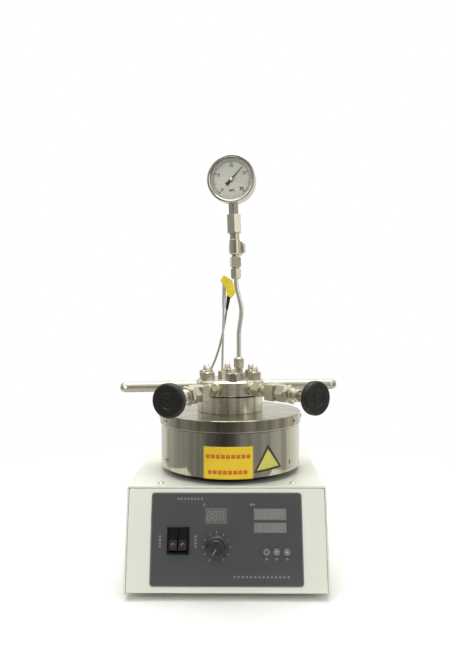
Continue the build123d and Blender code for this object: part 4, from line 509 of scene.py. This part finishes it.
def loop(bm, place, outer, inner, low, high):
    """Adds a flat ring between two outlines with as many points each."""
    n = len(outer)
    rows = [[bm.verts.new(place @ Vector((x, y, z))) for x, y in line]
            for line, z in ((outer, low), (outer, high), (inner, high), (inner, low))]
    for a in range(4):
        b = (a + 1) % 4
        for i in range(n):
            j = (i + 1) % n
            bm.faces.new((rows[a][i], rows[a][j], rows[b][j], rows[b][i]))


def polar(r, angle):
    """Point at this distance and angle from the middle."""
    return r * math.cos(angle), r * math.sin(angle)


def circle(x, y, r, n=48):
    """Points round a circle."""
    return [(x + r * math.cos(2 * math.pi * i / n), y + r * math.sin(2 * math.pi * i / n)) for i in range(n)]


def bar_outline(x, y, angle, length, width):
    """Rectangle whose long side starts at x, y and runs at this angle."""
    c, s = math.cos(angle), math.sin(angle)
    return [(x + c * u - s * v, y + s * u + c * v) for u, v in
            ((0, -width / 2), (length, -width / 2), (length, width / 2), (0, width / 2))]


def rounded(x0, x1, y0, y1, r, n=6):
    """Rectangle with round corners of n steps each."""
    out = []
    for cx, cy, start in ((x1 - r, y1 - r, 0), (x0 + r, y1 - r, 90), (x0 + r, y0 + r, 180), (x1 - r, y0 + r, 270)):
        for i in range(n + 1):
            a = math.radians(start + 90 * i / n)
            out.append((cx + r * math.cos(a), cy + r * math.sin(a)))
    return out


def dome(bm, place, radius, height):
    """Adds a low dome on a flat foot."""
    rings, n = 5, 32
    rows = []
    for k in range(rings):
        lift = math.pi / 2 * k / rings
        r, z = radius * math.cos(lift), height * math.sin(lift)
        rows.append([bm.verts.new(place @ Vector((x, y, z))) for x, y in circle(0, 0, r, n)])
    bm.faces.new(list(reversed(rows[0])))
    for a, b in zip(rows, rows[1:]):
        for i in range(n):
            bm.faces.new((a[i], a[(i + 1) % n], b[(i + 1) % n], b[i]))
    top = bm.verts.new(place @ Vector((0, 0, height)))
    for i in range(n):
        bm.faces.new((rows[-1][i], rows[-1][(i + 1) % n], top))


print_grey = Finish("pale_print", srgb("#b9bbba"), 0.5)
print_grey.tint(print_grey.noise(1500, 3), srgb("#9fa1a0"), 0.5)
print_grey.wear(print_grey.noise(900, 2), 0.42, 0.6)
dial_ink = Finish("dial_ink", srgb("#131312"), 0.55)
dial_ink.tint(dial_ink.noise(1800, 3), srgb("#22221f"), 0.5).wear(dial_ink.noise(900, 2), 0.45, 0.65)

# gauge scale: a line with ticks over 270 degrees, and five numbers
DIAL_FACE = -7.2
INK = 0.04
SCALE_RADIUS = 24.8
SCALE_LINE = 0.4
SCALE_START, SCALE_SWEEP = 225, 270           # degrees, clockwise from the start
SCALE_TICKS = 40
LINE_STEPS = 72
LONG_TICK, MID_TICK, SHORT_TICK = (4.2, 1.1), (2.8, 0.6), (2.0, 0.46)    # length, width
NUMBERS, NUMBER_STEP = 5, 5
NUMBER_SIZE, NUMBER_INSET = 5.4, 6.8
UNIT_SIZE, UNIT_HEIGHT = 4.4, -14.5
LETTER_GROWTH = 0.16


def scale_angle(i, steps):
    """Angle of step i on the scale."""
    return math.radians(SCALE_START - SCALE_SWEEP * i / steps)


bm = bmesh.new()
for i in range(SCALE_TICKS + 1):
    length, width = LONG_TICK if i % 10 == 0 else MID_TICK if i % 5 == 0 else SHORT_TICK
    angle = scale_angle(i, SCALE_TICKS)
    plate(bm, GAUGE, bar_outline(*polar(SCALE_RADIUS - length, angle), angle, length, width),
          DIAL_FACE, DIAL_FACE + INK)
arc = [scale_angle(i, LINE_STEPS) for i in range(LINE_STEPS + 1)]
line = [polar(SCALE_RADIUS, a) for a in arc] + [polar(SCALE_RADIUS - SCALE_LINE, a) for a in reversed(arc)]
for i in range(LINE_STEPS):
    plate(bm, GAUGE, [line[i], line[i + 1], line[-2 - i], line[-1 - i]], DIAL_FACE, DIAL_FACE + INK)
mesh_piece("gauge_scale", bm, dial_ink.m, "root")


def dial_text(name, words, size, x, y):
    """Flat printed words or figures on the dial."""
    text = bpy.data.curves.new(name, "FONT")
    text.body = words
    text.size = size
    text.align_x, text.align_y = "CENTER", "CENTER"
    text.extrude = INK / 2
    text.offset = LETTER_GROWTH
    text.materials.append(dial_ink.m)
    obj = link(bpy.data.objects.new(name, text))
    obj.matrix_world = GAUGE @ Matrix.Translation((x, y, DIAL_FACE + INK / 2))
    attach(obj, "root")


for i in range(NUMBERS):
    number = NUMBER_STEP * i
    dial_text(f"gauge_number_{number}", str(number), NUMBER_SIZE,
              *polar(SCALE_RADIUS - NUMBER_INSET, scale_angle(i, NUMBERS - 1)))
dial_text("gauge_unit", "MPa", UNIT_SIZE, 0, UNIT_HEIGHT)

# two labels on the drum: one with rows of plain blocks, one bare triangle with a dark border
sticker_yellow = Finish("sticker_yellow", srgb("#ecc90c"), 0.4, 0.0, Coat_Weight=0.15)
sticker_yellow.tint(sticker_yellow.noise(60, 4), srgb("#cda90c"), 0.5)
sticker_yellow.tint(sticker_yellow.noise(1500, 3), srgb("#e6ca33"), 0.3)
sticker_yellow.wear(sticker_yellow.noise(500, 3), 0.3, 0.5).bump(sticker_yellow.noise(500, 2), 0.02)
sticker_pale = Finish("sticker_pale_yellow", srgb("#d2cc5e"), 0.42)
sticker_pale.tint(sticker_pale.noise(80, 4), srgb("#c4bc4a"), 0.5)
sticker_pale.wear(sticker_pale.noise(500, 3), 0.32, 0.5)
stripe_red = Finish("stripe_red", srgb("#c8540e"), 0.5)
stripe_red.tint(stripe_red.noise((900, 900, 2400), 4), srgb("#d08a0e"), 0.6, 0.45, 0.6)
border_dark = Finish("border_dark", srgb("#2c2b20"), 0.5)
border_dark.tint(border_dark.noise(900, 3), srgb("#3b392c"), 0.5)

# places on the drum are (arc length from the front, height), layers are heights over the sheet
LABEL = (-31.5, 28.2, 128.8, 167.0)
LABEL_PITCH, LABEL_BLOCK = 6.05, 4.7
LABEL_ROWS = ((153.0, 157.8, -28.2, 9), (134.6, 139.2, -26.0, 8))        # low, high, left end, blocks
TRIANGLE = ((48, 167.5), (29, 135), (68.5, 138))
TRIANGLE_FIELD = ((47.9, 162.0), (32.8, 137.6), (64.2, 140.1))
LABEL_BACK, LABEL_FACE, BLOCK_FACE, FIELD_FACE = 0.02, 0.16, 0.19, 0.2
TIP_SHARE = 0.995                             # the apex keeps a small width, so no face collapses


def patch(bm, shape, low, high, columns=24, rows=12):
    """Adds a thin curved patch on the drum; shape(u, v) gives arc length from the front and height."""
    grid = []
    for r in (DRUM + low, DRUM + high):
        layer = []
        for j in range(rows + 1):
            row = []
            for i in range(columns + 1):
                s, z = shape(i / columns, j / rows)
                a = s / DRUM
                row.append(bm.verts.new(Vector((r * math.sin(a), -r * math.cos(a), z)) * MM))
            layer.append(row)
        grid.append(layer)
    for layer in grid:
        for j in range(rows):
            for i in range(columns):
                bm.faces.new([layer[j][i], layer[j][i + 1], layer[j + 1][i + 1], layer[j + 1][i]])
    a, b = grid
    edge = [(0, i) for i in range(columns)] + [(j, columns) for j in range(rows)]
    edge += [(rows, i) for i in range(columns, 0, -1)] + [(j, 0) for j in range(rows, 0, -1)]
    for k, (j, i) in enumerate(edge):
        j2, i2 = edge[(k + 1) % len(edge)]
        bm.faces.new((a[j][i], a[j2][i2], b[j2][i2], b[j][i]))


def rect(s0, s1, z0, z1):
    """Shape of a rectangular patch."""
    return lambda u, v: (s0 + (s1 - s0) * u, z0 + (z1 - z0) * v)


def tri(apex, left_corner, right_corner):
    """Shape of a triangular patch."""
    def shape(u, v):
        v = min(v, TIP_SHARE)
        a, b = [[c + (tip - c) * v for c, tip in zip(corner, apex)] for corner in (left_corner, right_corner)]
        return (a[0] + (b[0] - a[0]) * u, a[1] + (b[1] - a[1]) * u)
    return shape


bm = bmesh.new()
patch(bm, rect(*LABEL), LABEL_BACK, LABEL_FACE)
mesh_piece("yellow_label", bm, sticker_yellow.m, "root", True)
bm = bmesh.new()
for low, high, start, count in LABEL_ROWS:
    for i in range(count):
        left_edge = start + i * LABEL_PITCH
        patch(bm, rect(left_edge, left_edge + LABEL_BLOCK, low, high), LABEL_FACE, BLOCK_FACE, 4, 2)
mesh_piece("label_blocks", bm, stripe_red.m, "root", True)
bm = bmesh.new()
patch(bm, tri(*TRIANGLE), LABEL_BACK, LABEL_FACE, 12, 16)
mesh_piece("triangle_label", bm, border_dark.m, "root", True)
bm = bmesh.new()
patch(bm, tri(*TRIANGLE_FIELD), LABEL_FACE, FIELD_FACE, 12, 16)
mesh_piece("triangle_label_field", bm, sticker_pale.m, "root", True)

# panel print: rim of the film and the knob's scale
FILM_FACE = 0.6
PRINT = 0.05                                  # thickness of printed marks
FILM = (-87.0, 87.0, 8.0, 109.7)
FILM_INSIDE = (-86.0, 86.0, 9.0, 108.7)
FILM_CORNER, FILM_INSIDE_CORNER = 4, 3.2
KNOB_X, KNOB_Y = -11.3, 50
KNOB_SCALE_RADIUS, KNOB_STEPS = 14.6, 10
KNOB_SCALE_START, KNOB_SCALE_SWEEP = -60, 300
KNOB_TICK, KNOB_LONG_TICK, KNOB_TICK_WIDTH = 1.8, 2.8, 0.45

bm = bmesh.new()
loop(bm, PANEL, rounded(*FILM, FILM_CORNER), rounded(*FILM_INSIDE, FILM_INSIDE_CORNER),
     FILM_FACE, FILM_FACE + PRINT)
rim = Finish("film_rim", srgb("#6f7170"), 0.45)
rim.tint(rim.noise(900, 3), srgb("#5c5e5d"), 0.6)
mesh_piece("overlay_rim", bm, rim.m, "root")
bm = bmesh.new()
for i in range(KNOB_STEPS + 1):
    a = math.radians(KNOB_SCALE_START + KNOB_SCALE_SWEEP * i / KNOB_STEPS)
    x, y = polar(KNOB_SCALE_RADIUS, a)
    length = KNOB_TICK if i % 5 else KNOB_LONG_TICK
    plate(bm, PANEL, bar_outline(KNOB_X + x, KNOB_Y + y, a, length, KNOB_TICK_WIDTH),
          FILM_FACE, FILM_FACE + PRINT)
mesh_piece("speed_scale", bm, print_grey.m, "root")

# key rings, two of them with an arrow: down is -1, up is 1
KEY_FACE = 2.3
KEY_Y = 45
KEYS = (("set", 45.6, 0), ("down", 57.1, -1), ("up", 68.9, 1))
KEY_RING_OUTSIDE, KEY_RING_INSIDE = 3.25, 2.85
ARROW_HALF_WIDTH, ARROW_FOOT, ARROW_TIP = 1.6, 1.0, 1.5
for name, x, way in KEYS:
    bm = bmesh.new()
    loop(bm, PANEL, circle(x, KEY_Y, KEY_RING_OUTSIDE), circle(x, KEY_Y, KEY_RING_INSIDE),
         KEY_FACE, KEY_FACE + PRINT)
    if way:
        arrow = [(x - ARROW_HALF_WIDTH, KEY_Y - ARROW_FOOT * way), (x, KEY_Y + ARROW_TIP * way),
                 (x + ARROW_HALF_WIDTH, KEY_Y - ARROW_FOOT * way)]
        plate(bm, PANEL, arrow, KEY_FACE, KEY_FACE + PRINT)
    mesh_piece(f"{name}_key_mark", bm, print_grey.m, f"{name}_key")


# plain blocks in the places of words
def row(x, y, count, dx=0.0, dy=0.0):
    """Places in a row."""
    return [(x + dx * i, y + dy * i) for i in range(count)]


BESIDE_SWITCHES = row(-76.5, 61.5, 4, dy=-3.6) + row(-35.5, 61.5, 4, dy=-3.6)
OVER_WINDOWS = row(-26.0, 96.5, 1) + row(28.5, 96.5, 2, dx=3.0)
UNDER_KEYS = [(x, 37.2) for name, x, way in KEYS]
TITLE_AND_FOOT = row(-56.0, 103.0, 8, dx=3.9) + row(9.0, 18.2, 14, dx=4.7)
MARK_HALF = 1.15
bm = bmesh.new()
for x, y in BESIDE_SWITCHES + OVER_WINDOWS + UNDER_KEYS + TITLE_AND_FOOT:
    corners = [(x + a * MARK_HALF, y + b * MARK_HALF) for a, b in ((-1, -1), (1, -1), (1, 1), (-1, 1))]
    plate(bm, PANEL, corners, FILM_FACE, FILM_FACE + PRINT)
faded = Finish("faded_print", srgb("#858786"), 0.5)
faded.tint(faded.noise(700, 3), srgb("#6c6e6d"), 0.8).wear(faded.noise(900, 2), 0.42, 0.6)
mesh_piece("panel_marks", bm, faded.m, "root")

# unlit figures behind the display windows; a row is x, y, number of figures, width, height
WINDOW_FACE = 0.4
FIGURE_THICKNESS = 0.03
FIGURE_ROWS = ((-21.9, 84.1, 3, 4.2, 9.4), (36.0, 86.0, 4, 5.0, 8.2), (36.0, 71.1, 4, 5.0, 7.2))
FIGURE_GAP = 2.9
STROKE = 0.8
BAR_GAP = 0.75 * STROKE
LEAN = 0.12


def figure_eight(bm, x, y, width, height):
    """Seven-segment figure with all its bars, leaning a little to the right."""
    half, side = height / 2, STROKE / 2
    bars = [((BAR_GAP, b - side), (width - BAR_GAP, b + side)) for b in (-half, 0, half)]
    bars += [((a - side, b + BAR_GAP), (a + side, b + half - BAR_GAP)) for a in (0, width) for b in (-half, 0)]
    for (x0, y0), (x1, y1) in bars:
        corners = ((x0, y0), (x1, y0), (x1, y1), (x0, y1))
        plate(bm, PANEL, [(x + a + LEAN * b, y + b) for a, b in corners],
              WINDOW_FACE, WINDOW_FACE + FIGURE_THICKNESS)


bm = bmesh.new()
for x, y, count, width, height in FIGURE_ROWS:
    for i in range(count):
        figure_eight(bm, x + i * (width + FIGURE_GAP), y, width, height)
unlit = Finish("unlit_figures", srgb("#82827d"), 0.3)
unlit.tint(unlit.noise(300, 3), srgb("#787874"), 0.6).wear(unlit.noise(500, 2), 0.25, 0.4)
mesh_piece("display_figures", bm, unlit.m, "root")

# red lens on the lower wing of each rocker
lens = Finish("red_lens", srgb("#430f0d"), 0.22, 0.0, Coat_Weight=0.3)
lens.tint(lens.noise(300, 3), srgb("#6a211b"), 0.4).tint(lens.noise(900, 2), srgb("#250b0a"), 0.5)
lens.wear(lens.noise(700, 2), 0.16, 0.3)
SWITCH_Y, ROCKER_PIN_DEPTH = 57.2, -1.8
ROCKER_TILT, WING_TILT = math.radians(-9), math.radians(-8.1)
WING_MIDDLE = (0, -5.65, 5.77)
LENS_RADIUS, LENS_HEIGHT = 2.7, 0.7
ROCKER_WING = (Matrix.Rotation(ROCKER_TILT, 4, "X") @ Matrix.Translation(WING_MIDDLE)
               @ Matrix.Rotation(WING_TILT, 4, "X"))
for name, x in (("heat", -61.0), ("stir", -50.0)):
    bm = bmesh.new()
    dome(bm, PANEL @ Matrix.Translation((x, SWITCH_Y, ROCKER_PIN_DEPTH)) @ ROCKER_WING, LENS_RADIUS, LENS_HEIGHT)
    mesh_piece(f"{name}_switch_lens", bm, lens.m, f"{name}_rocker", True)

# bright cap on the hub of the gauge's pointer
HUB_TOP = -4.6
HUB_CAP_RADIUS, HUB_CAP_HEIGHT = 2.3, 0.4
bm = bmesh.new()
dome(bm, GAUGE @ Matrix.Translation((0, 0, HUB_TOP)), HUB_CAP_RADIUS, HUB_CAP_HEIGHT)
mesh_piece("pointer_hub_cap", bm, bright.m, "pointer", True)

# pointer line of the speed knob
KNOB_FACE = 17.9
KNOB_LINE_ANGLE = math.radians(-120)
KNOB_LINE_LENGTH, KNOB_LINE_WIDTH = 7.4, 0.5
bm = bmesh.new()
plate(bm, PANEL, bar_outline(KNOB_X, KNOB_Y, KNOB_LINE_ANGLE, KNOB_LINE_LENGTH, KNOB_LINE_WIDTH),
      KNOB_FACE, KNOB_FACE + PRINT)
mesh_piece("speed_knob_line", bm, print_grey.m, "stirrer_knob")

# --------------------------------------------------------- floor and light
FLOOR_HALF = 8.0
FADE_START, FADE_END = 0.22, 0.75             # how far out the floor turns to plain white
bm = bmesh.new()
bm.faces.new([bm.verts.new((x * FLOOR_HALF, y * FLOOR_HALF, 0)) for x, y in ((-1, -1), (1, -1), (1, 1), (-1, 1))])
floor = bpy.data.meshes.new("floor")
bm.to_mesh(floor)
bm.free()
ground = link(bpy.data.objects.new("floor", floor))
pale = Finish("pale_floor", srgb("#f1f1ee"), 0.7)
pale.tint(pale.noise(3, 3), srgb("#ededea"), 0.5)
away = pale.add("ShaderNodeVectorMath", operation="LENGTH")
pale.join(pale.where, away.inputs[0])
glow = pale.add("ShaderNodeEmission")
seen = pale.add("ShaderNodeLightPath")
share = pale.math("MULTIPLY", pale.spread(away.outputs["Value"], FADE_START, FADE_END),
                  seen.outputs["Is Camera Ray"])
blend = pale.add("ShaderNodeMixShader")
pale.join(share, blend.inputs[0])
pale.join(pale.b.outputs[0], blend.inputs[1])
pale.join(glow.outputs[0], blend.inputs[2])
pale.join(blend.outputs[0], pale.t.nodes["Material Output"].inputs["Surface"])
floor.materials.append(pale.m)

# world: white to the camera and to mirrors, dimmer as a source of light
WORLD_LIGHT, WORLD_SEEN = 0.42, 1.0
world = bpy.data.worlds.new("studio")
bpy.context.scene.world = world
world.use_nodes = True
wt = world.node_tree
wt.nodes.clear()
rays = wt.nodes.new("ShaderNodeLightPath").outputs
camera_or_glossy = math_node(wt, "ADD", rays["Is Camera Ray"], rays["Is Glossy Ray"])
direct = math_node(wt, "ADD", camera_or_glossy, rays["Is Transmission Ray"], clamp=True)
mix = wt.nodes.new("ShaderNodeMixShader")
wt.links.new(direct, mix.inputs[0])
for socket, strength in ((mix.inputs[1], WORLD_LIGHT), (mix.inputs[2], WORLD_SEEN)):
    back = wt.nodes.new("ShaderNodeBackground")
    back.inputs["Color"].default_value = (1, 1, 1, 1)
    back.inputs["Strength"].default_value = strength
    wt.links.new(back.outputs[0], socket)
out = wt.nodes.new("ShaderNodeOutputWorld")
wt.links.new(mix.outputs[0], out.inputs[0])

LAMP_TARGET = (0, 0, 0.2)


def lamp(name, at, size, power):
    """Rectangular lamp that faces the object."""
    data = bpy.data.lights.new(name, "AREA")
    data.shape = "RECTANGLE"
    data.size, data.size_y = size
    data.energy = power
    obj = link(bpy.data.objects.new(name, data))
    obj.location = at
    obj.rotation_mode = "QUATERNION"
    obj.rotation_quaternion = (Vector(LAMP_TARGET) - Vector(at)).to_track_quat("-Z", "Y")


lamp("key", (-1.3, -1.6, 1.9), (1.4, 1.4), 15)
lamp("fill", (1.7, -1.3, 1.2), (1.2, 1.6), 11)
lamp("top", (0, 0.2, 2.2), (1.8, 1.8), 46)

# the room round the object, which only bright metal mirrors: dark in front, pale at the sides and behind
# stops: bearing from the front in degrees, level
ROOM = ((-180, 0.95), (-137, 0.8), (-112, 0.6), (-92, 0.26), (-70, 0.32), (-50, 0.25), (-30, 0.11), (-12, 0.05),
        (8, 0.055), (20, 0.3), (28, 0.38), (45, 0.2), (62, 0.42), (84, 0.45), (104, 0.66), (122, 0.85), (146, 1.0),
        (180, 0.95))
ROOM_SIDES = 96
# radius and height of each ring of the wall, from the floor up
ROOM_PROFILE = ((0.42, 0.004), (0.8, 0.004), (1.5, 0.004), (3.2, 0.004), (3.3, 0.9), (3.3, 1.8), (3.2, 2.6))


def ramp(nodes, stops):
    """Grey ramp through (position, level) stops."""
    n = nodes.new("ShaderNodeValToRGB")
    n.color_ramp.interpolation = "B_SPLINE"
    while len(n.color_ramp.elements) < len(stops):
        n.color_ramp.elements.new(0.5)
    for element, (at, level) in zip(n.color_ramp.elements, stops):
        element.position = at
        element.color = (level, level, level, 1)
    return n


room = bpy.data.materials.new("room_card")
room.use_nodes = True
rt = room.node_tree
rt.nodes.clear()
place = rt.nodes.new("ShaderNodeTexCoord")
split = rt.nodes.new("ShaderNodeSeparateXYZ")
rt.links.new(place.outputs["Object"], split.inputs[0])
to_front = math_node(rt, "MULTIPLY", split.outputs[1], -1)
bearing = math_node(rt, "ARCTAN2", split.outputs[0], to_front)
unit = rt.nodes.new("ShaderNodeMapRange")
unit.inputs["From Min"].default_value, unit.inputs["From Max"].default_value = -math.pi, math.pi
rt.links.new(bearing, unit.inputs["Value"])
tone = ramp(rt.nodes, [((a + 180) / 360, level) for a, level in ROOM])
rt.links.new(unit.outputs["Result"], tone.inputs[0])
glow = rt.nodes.new("ShaderNodeEmission")
rt.links.new(tone.outputs[0], glow.inputs["Color"])
done = rt.nodes.new("ShaderNodeOutputMaterial")
rt.links.new(glow.outputs[0], done.inputs["Surface"])

bm = bmesh.new()
rows = []
for r, z in ROOM_PROFILE:
    angles = [2 * math.pi * i / ROOM_SIDES for i in range(ROOM_SIDES)]
    rows.append([bm.verts.new((r * math.sin(a), -r * math.cos(a), z)) for a in angles])
for low_row, high_row in zip(rows, rows[1:]):
    for i in range(ROOM_SIDES):
        j = (i + 1) % ROOM_SIDES
        bm.faces.new((low_row[i], low_row[j], high_row[j], high_row[i]))
data = bpy.data.meshes.new("room")
bm.to_mesh(data)
bm.free()
data.materials.append(room)
walls = link(bpy.data.objects.new("room", data))
walls.visible_camera = False
walls.visible_shadow = False
walls.visible_diffuse = False
walls.visible_transmission = False

bpy.context.view_layer.update()
